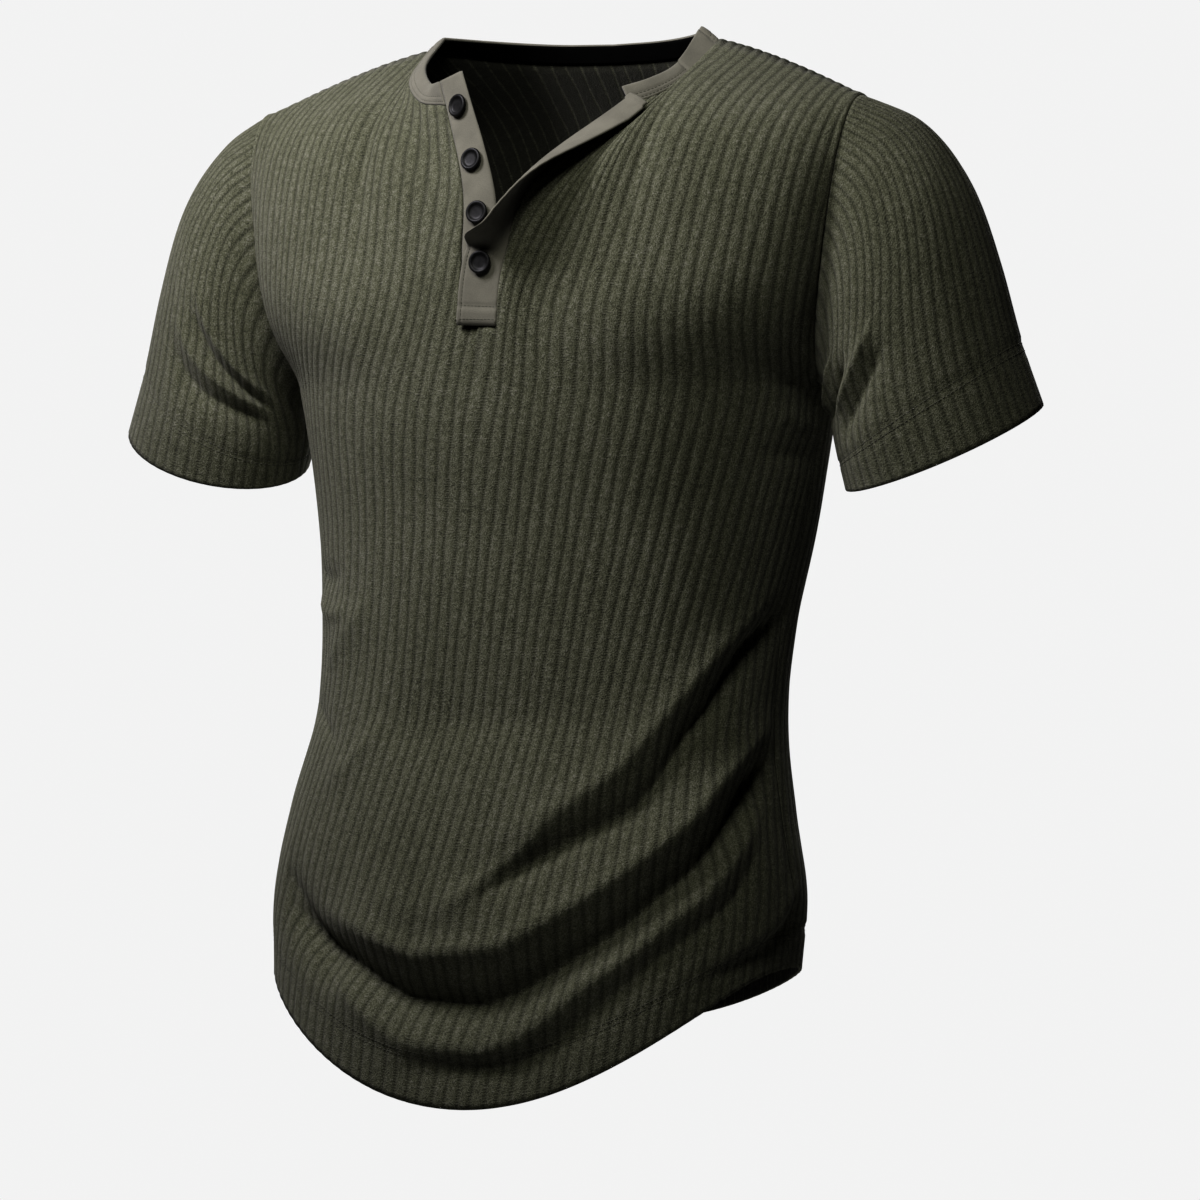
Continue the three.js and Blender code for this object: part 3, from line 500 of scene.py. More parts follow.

# %% [markdown]
# ## Finishes: rib knit
#
# The knit is a dark olive-grey, dry and a little fuzzy. The ribs themselves are modelled, so
# the material adds what is finer than a millimetre: painted shade in the thin grooves between
# the ribs, broken into rows of dots where the stitches show, the grain of mixed pale and dark
# yarn and an uneven dye. UVs count ribs across and stitch rows along, so that the pattern
# follows the cloth round every fold. The wrong side is painted darker, as shade inside the
# shirt, and pale where the outside has its grooves, because a rib knit is turned inside
# out there.

# %% Node helpers
def new_material(name):
    material = bpy.data.materials.new(name)
    material.use_nodes = True
    return material, material.node_tree, material.node_tree.nodes["Principled BSDF"]


def add_node(tree, kind, **settings):
    """A node with its settings; those that start with in_ go to its sockets."""
    node = tree.nodes.new(kind)
    for key, value in settings.items():
        if key.startswith("in_"):
            node.inputs[key.removeprefix("in_")].default_value = value
        else:
            setattr(node, key, value)
    return node


def calculate(tree, operation, first, second=None):
    node = add_node(tree, "ShaderNodeMath", operation=operation)
    for socket, value in zip(node.inputs, (first, second)):
        if value is None:
            continue
        if isinstance(value, (int, float)):
            socket.default_value = value
        else:
            tree.links.new(value, socket)
    return node.outputs[0]


def scaled(tree, factor, gain, middle=0.5, add=0.0):
    """How far a factor is from its middle, times gain, plus an amount."""
    centred = calculate(tree, "SUBTRACT", factor, middle)
    return calculate(tree, "ADD", calculate(tree, "MULTIPLY", centred, gain), add)


def ramp(tree, factor, stops):
    """A colour ramp through (place, colour) stops."""
    node = add_node(tree, "ShaderNodeValToRGB")
    elements = node.color_ramp.elements
    while len(elements) < len(stops):
        elements.new(0.5)
    for element, (place, colour) in zip(elements, stops):
        element.position = place
        element.color = (*colour, 1)
    tree.links.new(factor, node.inputs["Fac"])
    return node.outputs["Color"]


def noise(tree, scale, detail=3, vector=None):
    node = add_node(tree, "ShaderNodeTexNoise", in_Scale=scale, in_Detail=detail)
    if vector is None:
        vector = add_node(tree, "ShaderNodeTexCoord").outputs["Object"]
    tree.links.new(vector, node.inputs["Vector"])
    return node.outputs["Fac"]


def shade(colour, amount):
    return tuple(channel * amount for channel in colour)


print("node helpers ready")

# %% Rib knit material
KNIT_COLOUR = (0.083, 0.0865, 0.0525)
PALE_YARN = (0.17, 0.168, 0.135)
# noise scales per metre: single yarns, tufts of fluff, patches of uneven dye
YARN_SCALE, TUFT_SCALE, DYE_SCALE = 1150, 300, 14
TUFT_SHARE, DYE_SHARE = 0.4, 0.35
GROOVE_WANDER = 0.22
DOT_MIDDLE, DOT_SWING = 0.78, 0.22
DARK_YARN_SHADE = 0.34
TUFT_BUMP, DOT_BUMP, KNIT_BUMP_DEPTH = 0.8, 0.45, 0.0011


def rib_knit(name, colour, groove_shade, speckle, groove_from=0.2):
    """Speckled yarn, times groove_shade in each groove: painted shade below 1, pale lines above.
    """
    material, tree, shader = new_material(name)
    link = tree.links.new
    uv = add_node(tree, "ShaderNodeSeparateXYZ")
    link(add_node(tree, "ShaderNodeUVMap").outputs["UV"], uv.inputs[0])
    across = calculate(tree, "FRACT", uv.outputs["X"])
    from_middle = calculate(tree, "ABSOLUTE", calculate(tree, "SUBTRACT", across, 0.5))
    fine = noise(tree, YARN_SCALE, 4)
    coarse = noise(tree, TUFT_SCALE, 3)
    patches = noise(tree, DYE_SCALE, 3)
    rough_edge = calculate(tree, "ADD", from_middle, scaled(tree, coarse, GROOVE_WANDER))
    groove_range = add_node(tree, "ShaderNodeMapRange", interpolation_type="SMOOTHSTEP")
    link(rough_edge, groove_range.inputs["Value"])
    groove_range.inputs["From Min"].default_value = groove_from
    groove_range.inputs["From Max"].default_value = 0.5
    groove = groove_range.outputs["Result"]
    rows = calculate(tree, "SINE", calculate(tree, "MULTIPLY", uv.outputs["Y"], 2 * math.pi))
    dots = scaled(tree, rows, DOT_SWING, 0, DOT_MIDDLE)
    dots = calculate(tree, "MULTIPLY", groove, dots)
    tone = scaled(tree, fine, speckle, add=0.5)
    tone = calculate(tree, "ADD", tone, scaled(tree, coarse, TUFT_SHARE * speckle))
    tone = calculate(tree, "ADD", tone, scaled(tree, patches, DYE_SHARE))
    brightness = sum(colour) / sum(KNIT_COLOUR)
    base = ramp(tree, tone, [
        (0.1, shade(colour, DARK_YARN_SHADE)), (0.5, colour),
        (0.95, shade(PALE_YARN, brightness)),
    ])
    # painted shade: the outside's grooves are darkened here in rows of dots; the inside's go pale
    # sockets 6 and 7 and output 2 are the ones that a Mix node uses for colours
    darken = add_node(tree, "ShaderNodeMix", data_type="RGBA", blend_type="MULTIPLY")
    link(dots, darken.inputs["Factor"])
    link(base, darken.inputs[6])
    darken.inputs[7].default_value = (*groove_shade, 1)
    link(darken.outputs[2], shader.inputs["Base Color"])
    shader.inputs["Roughness"].default_value = 0.95
    shader.inputs["Specular IOR Level"].default_value = 0.12
    shader.inputs["Sheen Weight"].default_value = 0.1
    shader.inputs["Sheen Roughness"].default_value = 0.6
    shader.inputs["Sheen Tint"].default_value = (1, 0.97, 0.9, 1)
    height = calculate(tree, "ADD", fine, calculate(tree, "MULTIPLY", coarse, TUFT_BUMP))
    height = calculate(tree, "SUBTRACT", height, calculate(tree, "MULTIPLY", dots, DOT_BUMP))
    bump = add_node(tree, "ShaderNodeBump", in_Strength=0.9, in_Distance=KNIT_BUMP_DEPTH)
    link(height, bump.inputs["Height"])
    link(bump.outputs["Normal"], shader.inputs["Normal"])
    return material


# the grooves of the outside get painted shade, at about 0.42 of the yarn's colour
KNIT = rib_knit("rib_knit", KNIT_COLOUR, (0.42, 0.43, 0.39), 1.9)
# the wrong side is painted at 0.15 of the knit's colour as shade inside the shirt; its grooves are
# pale lines
KNIT_INSIDE_PAINTED_SHADE = rib_knit("rib_knit_inside_painted_shade", shade(KNIT_COLOUR, 0.15), (3.6, 3.6, 3.6), 1.2, 0.36)
print("materials:", KNIT.name, KNIT_INSIDE_PAINTED_SHADE.name)

# %% [markdown]
# ## Finishes: jersey, tape, buttons and thread
#
# The neckband and the strips are plain jersey, smoother and a shade paler than the ribs.
# The tape is woven, almost black and quite dull; its near-black also paints the shade on the
# inside of the back band. The buttons are black plastic with a satin face, so the lamp leaves
# only a small highlight on each. Thread is a little glossier than cloth, because it is twisted
# hard.

# %% Plain finishes
JERSEY_COLOUR = (0.125, 0.120, 0.096)
TAPE_AND_SHADE_COLOUR = (0.0018, 0.0018, 0.0017)
THREAD_COLOUR = (0.072, 0.072, 0.052)
PATCH_SCALE = 60
GRAIN_SHARE, PATCH_SHARE = 0.35, 0.65


def plain_cloth(name, colour, roughness, fine, depth, sheen=0.1, specular=0.22):
    material, tree, shader = new_material(name)
    link = tree.links.new
    grain = noise(tree, fine, 4)
    patches = noise(tree, PATCH_SCALE, 4)
    tone = calculate(tree, "ADD", calculate(tree, "MULTIPLY", grain, GRAIN_SHARE),
                     calculate(tree, "MULTIPLY", patches, PATCH_SHARE))
    tones = [(0.3, shade(colour, 0.78)), (0.52, colour), (0.72, shade(colour, 1.2))]
    link(ramp(tree, tone, tones), shader.inputs["Base Color"])
    bump = add_node(tree, "ShaderNodeBump", in_Strength=0.5, in_Distance=depth)
    link(grain, bump.inputs["Height"])
    link(bump.outputs["Normal"], shader.inputs["Normal"])
    shader.inputs["Roughness"].default_value = roughness
    shader.inputs["Specular IOR Level"].default_value = specular
    shader.inputs["Sheen Weight"].default_value = sheen
    return material


JERSEY = plain_cloth("smooth_jersey", JERSEY_COLOUR, 0.88, 1300, 0.0004)
# tape and painted shade: near-black, sheenless and almost without gloss, it also darkens the
# band's inside
TAPE_AND_SHADE = plain_cloth("dark_tape", TAPE_AND_SHADE_COLOUR, 0.95, 1500, 0.0003, sheen=0, specular=0.03)
THREAD = plain_cloth("sewing_thread", THREAD_COLOUR, 0.7, 3000, 0.0001)
print("cloth finishes:", [m.name for m in (JERSEY, TAPE_AND_SHADE, THREAD)])

# %% Button plastic
CLOUD_SCALE, RUBBED_SCALE = 420, 900


def grey(value):
    return (value, value, value)


def button_plastic():
    material, tree, shader = new_material("button_plastic")
    clouds = noise(tree, CLOUD_SCALE, 2)
    tone = ramp(tree, clouds, [(0.35, grey(0.004)), (0.65, grey(0.009))])
    tree.links.new(tone, shader.inputs["Base Color"])
    rubbed = noise(tree, RUBBED_SCALE, 3)
    gloss = ramp(tree, rubbed, [(0.3, grey(0.4)), (0.7, grey(0.52))])
    tree.links.new(gloss, shader.inputs["Roughness"])
    shader.inputs["Specular IOR Level"].default_value = 0.16
    return material


BUTTON_PLASTIC = button_plastic()
print("button finish:", BUTTON_PLASTIC.name)

# %% [markdown]
# ## Turning grids into cloth
#
# A piece of cloth is two grids of points, its outside and its inside, joined by narrow rims
# along every edge. `cloth` builds that closed wall, gives it UVs and rides it on the body.
# Cells can be left out, which is how the front gets its slot.

# %% Walls and rims
def rim_faces(cells, index, shift, looped):
    """Faces that join outside and inside wherever a cell has no neighbour."""
    padded = np.pad(cells, 1)
    rims = []
    for missing, (p, q) in (
        (~padded[:-2, 1:-1], "ab"), (~padded[1:-1, 2:], "bc"),
        (~padded[2:, 1:-1], "cd"), (~padded[1:-1, :-2], "da"),
    ):
        if looped and p + q in ("bc", "da"):
            continue
        i, j = np.nonzero(cells & missing)
        corner = {
            "a": index[i, j], "b": index[i, j + 1],
            "c": index[i + 1, j + 1], "d": index[i + 1, j],
        }
        rims.append(np.stack([corner[q], corner[p], corner[p] + shift, corner[q] + shift], -1))
    return rims


def facing_volume(points, faces):
    """The volume inside the faces, below zero where they look inward."""
    a, b, c, d = (points[faces[:, k]] for k in range(4))
    halves = np.einsum("ij,ij->i", a, np.cross(b, c)) + np.einsum("ij,ij->i", a, np.cross(c, d))
    return halves.sum()


def finish_piece(obj, nodes):
    """Every piece rides the body; most replace a solid of the frame, which is hidden."""
    bpy.context.scene.collection.objects.link(obj)
    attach(obj, "root")
    if nodes:
        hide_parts(*nodes)
    return obj


print("rims of one lone cell:", len(rim_faces(np.ones((1, 1), bool), np.array([[0, 1], [3, 2]]),
                                              4, False)))

# %% The cloth maker
def cloth(name, outer, inner, uv, materials, nodes, keep=None, looped=False):
    """A closed wall of cloth from an outer and an inner grid of points, in millimetres."""
    rows, columns = outer.shape[:2]
    cells = np.ones((rows - 1, columns - 1), bool) if keep is None else keep
    index = np.arange(rows * columns).reshape(rows, columns)
    if looped:
        index[:, -1] = index[:, 0]
    i, j = np.nonzero(cells)
    a, b, c, d = index[i, j], index[i, j + 1], index[i + 1, j + 1], index[i + 1, j]
    shift = rows * columns
    outside = np.stack([a, b, c, d], -1)
    inside = np.stack([d, c, b, a], -1) + shift
    faces = np.concatenate([outside, inside, *rim_faces(cells, index, shift, looped)])
    points = np.concatenate([outer.reshape(-1, 3), inner.reshape(-1, 3)]) * MM
    if facing_volume(points, faces) < 0:
        faces = faces[:, ::-1]
    used, place = np.unique(faces, return_inverse=True)
    faces, points = place.reshape(-1, 4), points[used]
    mesh = bpy.data.meshes.new(name)
    mesh.vertices.add(len(points))
    mesh.vertices.foreach_set("co", points.ravel())
    mesh.loops.add(faces.size)
    mesh.loops.foreach_set("vertex_index", faces.ravel())
    mesh.polygons.add(len(faces))
    mesh.polygons.foreach_set("loop_start", np.arange(0, faces.size, 4))
    mesh.polygons.foreach_set("material_index", np.repeat(
        [0, len(materials) - 1, 0], [len(outside), len(inside), len(faces) - 2 * len(outside)]))
    mesh.update(calc_edges=True)
    flat_uv = np.concatenate([uv.reshape(-1, 2)] * 2)[used]
    layer = mesh.uv_layers.new(name="cloth")
    layer.uv.foreach_set("vector", flat_uv[faces.ravel()].ravel())
    mesh.shade_smooth()
    for material in materials:
        mesh.materials.append(material)
    print(name, "faces:", len(faces))
    return finish_piece(bpy.data.objects.new(name, mesh), nodes)


def run_along(grid):
    """Length along the columns from the first row, for every row, in millimetres."""
    steps = np.linalg.norm(np.diff(grid, axis=0), axis=-1).mean(axis=1)
    return np.concatenate([[0], np.cumsum(steps)])


print("cloth maker ready")

# %% [markdown]
# ## Front and back
#
# A rib is rounded on top and drops into a narrow groove, so its height follows a flattened
# half wave across. The cloth has slid round the body, so the ribs lean to the wearer's
# right on their way down, which a slide in rib counts gives without moving the form. The
# ribs fade at every seam, and a ridge beside the armhole shows the allowance under it. The
# front's slot takes out the three ribs in the middle, where the strips go.

# %% The surface of rib knit
COURSE_MM = 1.7
RIB_HEIGHT = 0.7
RIB_ROUNDNESS = 0.55
RIB_WANDER, RIB_SWELLING = 0.045, 0.16
HEM_ROWS = (26, 29.5)
HEM_DIP, HEM_DIP_WIDTH = 0.5, 1.3
HEM_RIB, HEM_FADE = 0.62, 6


def rib_swell(rib_places):
    """0 in a groove and 1 on a rib's crest, for places counted in ribs."""
    part = (np.asarray(rib_places) + 0.5) % 1
    return np.sin(math.pi * part).clip(0) ** RIB_ROUNDNESS


def unevenness(places, run):
    """Ribs wander a little and swell and sink along their length, as knitting does."""
    slow = np.sin(run[:, None] / 21 + places * 1.7) + np.sin(run[:, None] / 8.3 - places * 2.9)
    swell = np.sin(run[:, None] / 13 + places * 4.3)
    return places + RIB_WANDER * slow, 1 + RIB_SWELLING * swell


def pressed_rows(run):
    """The cloth beside a hem's two stitch rows is drawn in; below them it lies smoother."""
    drawn = sum(np.exp(-(((run - at) / HEM_DIP_WIDTH) ** 2)) for at in HEM_ROWS)
    rib = HEM_RIB + (1 - HEM_RIB) * ease((run - HEM_ROWS[0]) / HEM_FADE)
    return rib * (1 - 0.8 * drawn.clip(0, 1)), drawn


print("rib swell in a groove and on a crest:", rib_swell([0.5, 0]))

# %% Sew front and back
# share from hem to shoulder, then ribs by which the knit has slid to the wearer's right
LEAN = np.array([(0, 11), (0.4, 7.3), (UNDERARM, 4), (YOKE, 1), (1, 0)])
BACK_LEAN = -0.5
# the ridge beside the armhole seam, and the fade of the ribs at a seam, both in ribs
RIDGE_AT, RIDGE_WIDTH, RIDGE_HEIGHT = 0.32, 0.25, 1.1
SEAM_FADE = 0.9
surfaces = {}


def panel_piece(name, back, keep):
    grid, out = body[back], body_out[back]
    slid = through(LEAN[:, 0], LEAN[:, 1:], shares)
    part = ribs[None, :] / RIBS_HALF
    if back:
        slid = BACK_LEAN * slid
    else:
        held = ease((-part - 0.5) / 0.5) * ease((shares[:, None] - UNDERARM + 0.1) / 0.1)
        slid = slid * (1 - held)
    places = ribs[None, :] + slid
    run = run_along(grid)
    height, drawn = pressed_rows(run)
    edge = RIBS_HALF - np.abs(ribs)[None, :]
    beside = np.exp(-(((edge - RIDGE_AT) / RIDGE_WIDTH) ** 2))
    beside = beside * ease((shares[:, None] - UNDERARM) / 0.03)
    places, lift = unevenness(places, run)
    swell = rib_swell(places) * lift * RIB_HEIGHT * height[:, None] * ease(edge / SEAM_FADE)
    swell = swell - HEM_DIP * drawn[:, None] + RIDGE_HEIGHT * beside
    outer = grid + out * swell[..., None]
    inner = grid - out * WALL
    uv = np.stack(np.broadcast_arrays(places + 0.5, run[:, None] / COURSE_MM), -1)
    surfaces[name] = (outer, out)
    return cloth(name, outer, inner, uv, [KNIT, KNIT_INSIDE_PAINTED_SHADE], [name], keep)


front_cells = np.ones((ROW_COUNT - 1, len(ribs) - 1), bool)
front_cells[FOOT_ROW:, SLOT_RIGHT:SLOT_LEFT] = False
front_piece = panel_piece("front_panel", 0, front_cells)
back_piece = panel_piece("back_panel", 1, None)

# %% [markdown]
# ## Sleeves
#
# A short sleeve is one piece sewn into a tube: its top edge follows the armhole and its
# ribs run down the arm. The tube is a stack of rings from the armhole seam to the cuff,
# which slants down in front. Near the seam the ribs lean away from the shoulder tip, as
# they do where a curved sleeve head is eased into its armhole. Soft creases gather under
# the arm, where the sleeve folds against the body.

# %% Sleeve form
# share, outer x, z, inner x, z, centre y, front depth, back depth, slant of the front
SLEEVE = np.array([
    (0.22, 255, -67, 199, -243, -9, 52, 58, 0),
    (0.45, 283, -101, 200, -256, -8, 58, 61, -3),
    (0.70, 304, -157, 202, -269, -6, 61, 63, -8),
    (0.88, 320, -214, 205, -282, -5, 61, 62, -14),
    (1.00, 334, -252, 208, -294, -5, 58, 60, -19),
])
SLEEVE_ROWS = 82


def sleeve_grid(turns, rows):
    c, s = np.cos(turns), np.sin(turns)
    rings = [armhole(turns)]
    for _, ox, oz, ix, iz, y, front, behind, slant in SLEEVE:
        rings.append(np.stack([
            (ox + ix) / 2 + (ox - ix) / 2 * c,
            y - np.where(s > 0, front, behind) * s,
            (oz + iz) / 2 + (oz - iz) / 2 * c + slant * s,
        ], -1))
    return through([0, *SLEEVE[:, 0]], np.stack(rings), rows)


# depth, half width, fade, then turn in degrees and share along the sleeve
SLEEVE_FOLDS = {
    1: [
        (4.5, 0.045, 0.3, [(118, 0.36), (140, 0.42), (158, 0.5)]),
        (-5.5, 0.05, 0.3, [(108, 0.5), (132, 0.54), (156, 0.62)]),
        (4.5, 0.045, 0.3, [(84, 0.56), (108, 0.62), (136, 0.68)]),
        (-5.0, 0.05, 0.3, [(80, 0.66), (106, 0.72), (134, 0.78)]),
        (-2.5, 0.07, 0.4, [(200, 0.3), (230, 0.36), (262, 0.44)]),
    ],
    -1: [
        (4.0, 0.04, 0.3, [(60, 0.62), (92, 0.66), (124, 0.6), (150, 0.5)]),
        (-6.0, 0.045, 0.3, [(62, 0.7), (94, 0.74), (126, 0.68), (152, 0.58)]),
        (4.0, 0.04, 0.3, [(70, 0.44), (98, 0.5), (126, 0.46), (150, 0.38)]),
        (-6.0, 0.045, 0.3, [(74, 0.52), (100, 0.57), (128, 0.53), (152, 0.45)]),
        (-2.5, 0.07, 0.4, [(206, 0.34), (236, 0.4), (268, 0.46)]),
    ],
}
# length of the sleeve for one degree round it, as a share
TURN_SCALE = 0.0055
FOLD_STEPS = 60


def sleeve_depth(turns, rows, folds):
    """How far the sleeve's folds move each place."""
    degrees = np.degrees(turns)[None, :] * TURN_SCALE
    total = np.zeros((len(rows), len(turns)))
    for depth, width, fade, line in folds:
        points = np.array(line) * np.array([TURN_SCALE, 1])
        dense = np.linspace(0, 1, FOLD_STEPS)
        path = through(np.linspace(0, 1, len(points)), points, dense)
        away = np.hypot(
            degrees[..., None] - path[:, 0], rows[:, None, None] - path[:, 1],
        )
        nearest = away.argmin(-1)
        end = np.minimum(dense, 1 - dense)[nearest] / fade
        total += depth * ease(end) * crease(away.min(-1) / width)
    return total


print("sleeve folds:", {side: len(folds) for side, folds in SLEEVE_FOLDS.items()})

# %% Sew the sleeves
# ribs by which the knit leans at the sleeve head, and how far down the sleeve that lasts
CAP_LEAN, CAP_DEPTH = 5.5, 0.85
HEAD_RIB, HEAD_FADE = 0.3, 0.05
SLEEVE_RELIEF = 0.7


def tube_outward(grid):
    """Directions out of a tube whose last column lies on its first."""
    out = outward(np.concatenate([grid[:, -2:-1], grid, grid[:, 1:2]], 1))[:, 1:-1]
    return out if out[SLEEVE_ROWS // 2, 0, 2] > 0 else -out


def sleeve_piece(name, side):
    rows = np.linspace(0, 1, SLEEVE_ROWS)
    turns = np.linspace(0, 2 * math.pi, SLEEVE_RIBS * RIB_COLUMNS + 1)
    grid = sleeve_grid(turns, rows)
    grid[0] += unit(grid[1] - grid[0]) * HALF_GAP
    depth = sleeve_depth(turns, rows, SLEEVE_FOLDS[side])
    grid = grid + tube_outward(grid) * depth[..., None]
    out = tube_outward(grid)
    lean = CAP_LEAN * np.sin(turns)[None, :] * ease(1 - rows / CAP_DEPTH)[:, None]
    places = turns[None, :] / (2 * math.pi) * SLEEVE_RIBS + lean
    run = run_along(grid)
    height, drawn = pressed_rows(run[-1] - run)
    height = height * (ease(rows / HEAD_FADE) * (1 - HEAD_RIB) + HEAD_RIB) * SLEEVE_RELIEF
    places, lift = unevenness(places, run)
    swell = rib_swell(places + 0.5) * lift * RIB_HEIGHT * height[:, None]
    swell = swell - HEM_DIP * drawn[:, None]
    outer = grid + out * swell[..., None]
    inner = grid - out * WALL
    flip = np.array([side, 1, 1])
    uv = np.stack(np.broadcast_arrays(places, run[:, None] / COURSE_MM), -1)
    surfaces[name] = (outer[::-1] * flip, out[::-1] * flip)
    return cloth(name, outer * flip, inner * flip, uv, [KNIT, KNIT_INSIDE_PAINTED_SHADE], [name],
                 looped=True)


sleeve_left = sleeve_piece("sleeve_left", 1)
sleeve_right = sleeve_piece("sleeve_right", -1)

# %% [markdown]
# ## Neckband and tape
#
# The band is a folded strip of jersey sewn round the neckline, from one placket strip round
# the back to the other. It is softly rounded over its fold, with two rows of stitching
# pressed in beside the seam. Inside the back of the neck a narrow dark tape covers that
# seam and almost all of the band's inside, and its near-black also paints the shade there.

# %% The neckband's two edges
NECK_GAP = 0.4
BAND_SMOOTHING = 12


def rim_point(back, rib_places):
    left = rib_places > 0
    start = 0 if back else SLOT_RIBS
    share = np.clip((np.abs(rib_places) - start) / (NECK_RIBS - start), 0, 1)
    tables = [neck_table(back, side) for side in (False, True)]
    points = [through(t[:, 0], t[:, 4:7], share) for t in tables]
    return np.where(left[:, None], points[1], points[0] * MIRROR)


neck_order = [
    (0, np.arange(SLOT_LEFT, NECK_LEFT_COLUMN + 1)),
    (1, np.arange(NECK_LEFT_COLUMN - 1, NECK_RIGHT_COLUMN, -1)),
    (0, np.arange(NECK_RIGHT_COLUMN, SLOT_RIGHT + 1)),
]
neck_seam = np.concatenate([body[back][-1, columns] for back, columns in neck_order])
neck_out = np.concatenate([body_out[back][-1, columns] for back, columns in neck_order])
neck_rim = np.concatenate([rim_point(bool(back), ribs[columns]) for back, columns in neck_order])
neck_is_back = np.concatenate([np.full(len(columns), back) for back, columns in neck_order])
for _ in range(BAND_SMOOTHING):
    neck_out[1:-1] = unit(neck_out[:-2] + neck_out[2:] + 2 * neck_out[1:-1])
band_foot = neck_seam + unit(neck_rim - neck_seam) * NECK_GAP
band_along = np.gradient(neck_rim, axis=0)
rim_out = unit(np.cross(band_along, neck_rim - band_foot))
rim_out *= np.sign(np.einsum("ij,ij->i", rim_out, neck_out))[:, None]
print("neckband columns:", len(neck_rim), "of them at the back:", int(neck_is_back.sum()))

# %% Neckband
BAND_WALL = 1.7
BAND_ROWS = 15
BAND_CROWN = 0.9
BAND_STITCH_SHARES = (0.16, 0.38)
BAND_DIP, BAND_DIP_WIDTH = 0.45, 0.05


def rounded(share):
    """0 at both edges and 1 in the middle, along a half circle."""
    return np.sqrt(np.clip(1 - (2 * share - 1) ** 2, 0, 1))


def band_profile(share):
    """How far the band stands out: rounded at both edges, with two pressed-in rows."""
    pressed = sum(np.exp(-(((share - at) / BAND_DIP_WIDTH) ** 2)) for at in BAND_STITCH_SHARES)
    return rounded(share) * BAND_CROWN - BAND_DIP * pressed


band_share = np.linspace(0, 1, BAND_ROWS)[:, None, None]
band_mid = mix(band_foot, neck_rim, band_share)
band_out = unit(mix(neck_out, rim_out, ease(band_share)))
band_outer = band_mid + band_out * band_profile(band_share)
band_inner = band_mid - band_out * BAND_WALL
band_run = np.concatenate([[0], np.cumsum(np.linalg.norm(np.diff(neck_rim, axis=0), axis=1))])
band_uv = np.stack(np.broadcast_arrays(band_run[None, :] / 10, band_share[..., 0]), -1)
neckband = cloth("neckband", band_outer, band_inner, band_uv, [JERSEY], ["neckband"])

# %% Neck tape
TAPE_WALL = 0.7
TAPE_ROWS = 9
# the tape covers almost the whole inside of the back band, whose shade its near-black also paints
TAPE_LOW, TAPE_HIGH = 0.02, 0.98
TAPE_REST, TAPE_CROWN = 0.3, 0.25
back_columns = np.nonzero(neck_is_back)[0]
tape_share = np.linspace(TAPE_LOW, TAPE_HIGH, TAPE_ROWS)[:, None, None]
tape_mid = mix(band_inner[0], band_inner[-1], tape_share)[:, back_columns]
tape_out = unit(mix(band_out[0], band_out[-1], tape_share))[:, back_columns]
tape_round = TAPE_CROWN * rounded(np.linspace(0, 1, TAPE_ROWS))[:, None, None]
neck_tape = cloth(
    "neck_tape", tape_mid - tape_out * TAPE_REST,
    tape_mid - tape_out * (TAPE_REST + TAPE_WALL + tape_round),
    band_uv[:TAPE_ROWS, back_columns], [TAPE_AND_SHADE], ["neck_tape"],
)

# %% [markdown]
# ## The button strip
#
# Two folded strips of jersey finish the slot. The button strip lies underneath, on the
# wearer's right: it is sewn to that edge of the slot and its free edge follows a few
# measured points. Each strip is laid out row by row up the slot and up the end of the
# neckband, so that it keeps its width however the opening gapes.

# %% Strip rails
STRIP_WIDTH = 28
STRIP_WALL = 1.8
STRIP_ROWS = 120
STRIP_START = 0.3
EDGE_FALL, EDGE_ROUND = 0.6, 1.6
WEAVE_REPEATS = 6


def strip_rail(column, band_end):
    """Points and facings up an edge of the slot, then up the end of the neckband."""
    points = np.concatenate([body[0][FOOT_ROW:, column], neck_rim[band_end][None]])
    facing = np.concatenate([body_out[0][FOOT_ROW:, column], rim_out[band_end][None]])
    run = np.concatenate([[0], np.cumsum(np.linalg.norm(np.diff(points, axis=0), axis=1))])
    at = np.linspace(0, 1, STRIP_ROWS)
    read = [np.interp(at, run / run[-1], values) for values in (*points.T, *facing.T)]
    return at, np.stack(read[:3], -1), unit(np.stack(read[3:], -1))


def rounded_edges(columns):
    """How far each side of the wall falls back beside both long edges."""
    at = np.linspace(0, 1, columns) * STRIP_WIDTH
    edge = np.minimum(at, STRIP_WIDTH - at)
    crown = np.sqrt(np.clip(1 - (1 - edge / EDGE_ROUND).clip(0) ** 2, 0, 1))
    return (EDGE_FALL * (1 - crown))[None, :, None]


def strip_uv(at, columns):
    across = np.linspace(0, 1, columns)[None, :]
    return np.stack(np.broadcast_arrays(across, at[:, None] * WEAVE_REPEATS), -1)


print("strip rows:", STRIP_ROWS)

# %% Button strip
UNDER_COLUMNS = 14
UNDER_FOOT_LIFT = 0.4
# share up the strip, free edge x, y, z
UNDERLAP_FREE = np.array([
    (0, 12, -125.4, -193.6), (0.28, 12, -124.2, -148), (0.55, 9, -119.5, -112),
    (0.75, -3, -113, -80), (0.9, -16, -106, -53), (1, -27.3, -98.5, -31),
])
under_at, under_rail, _ = strip_rail(SLOT_RIGHT, -1)
under_free = through(UNDERLAP_FREE[:, 0], UNDERLAP_FREE[:, 1:], under_at)
under_start = under_rail + unit(under_free - under_rail) * STRIP_START
under_mid = mix(under_start[:, None], under_free[:, None],
                np.linspace(0, 1, UNDER_COLUMNS)[None, :, None])
under_mid[0, :, 2] += UNDER_FOOT_LIFT
under_out = outward(under_mid)
under_fall = rounded_edges(UNDER_COLUMNS)
underlap = cloth(
    "placket_underlap", under_mid - under_out * under_fall,
    under_mid - under_out * (STRIP_WALL - under_fall), strip_uv(under_at, UNDER_COLUMNS),
    [JERSEY], ["placket_underlap"],
)

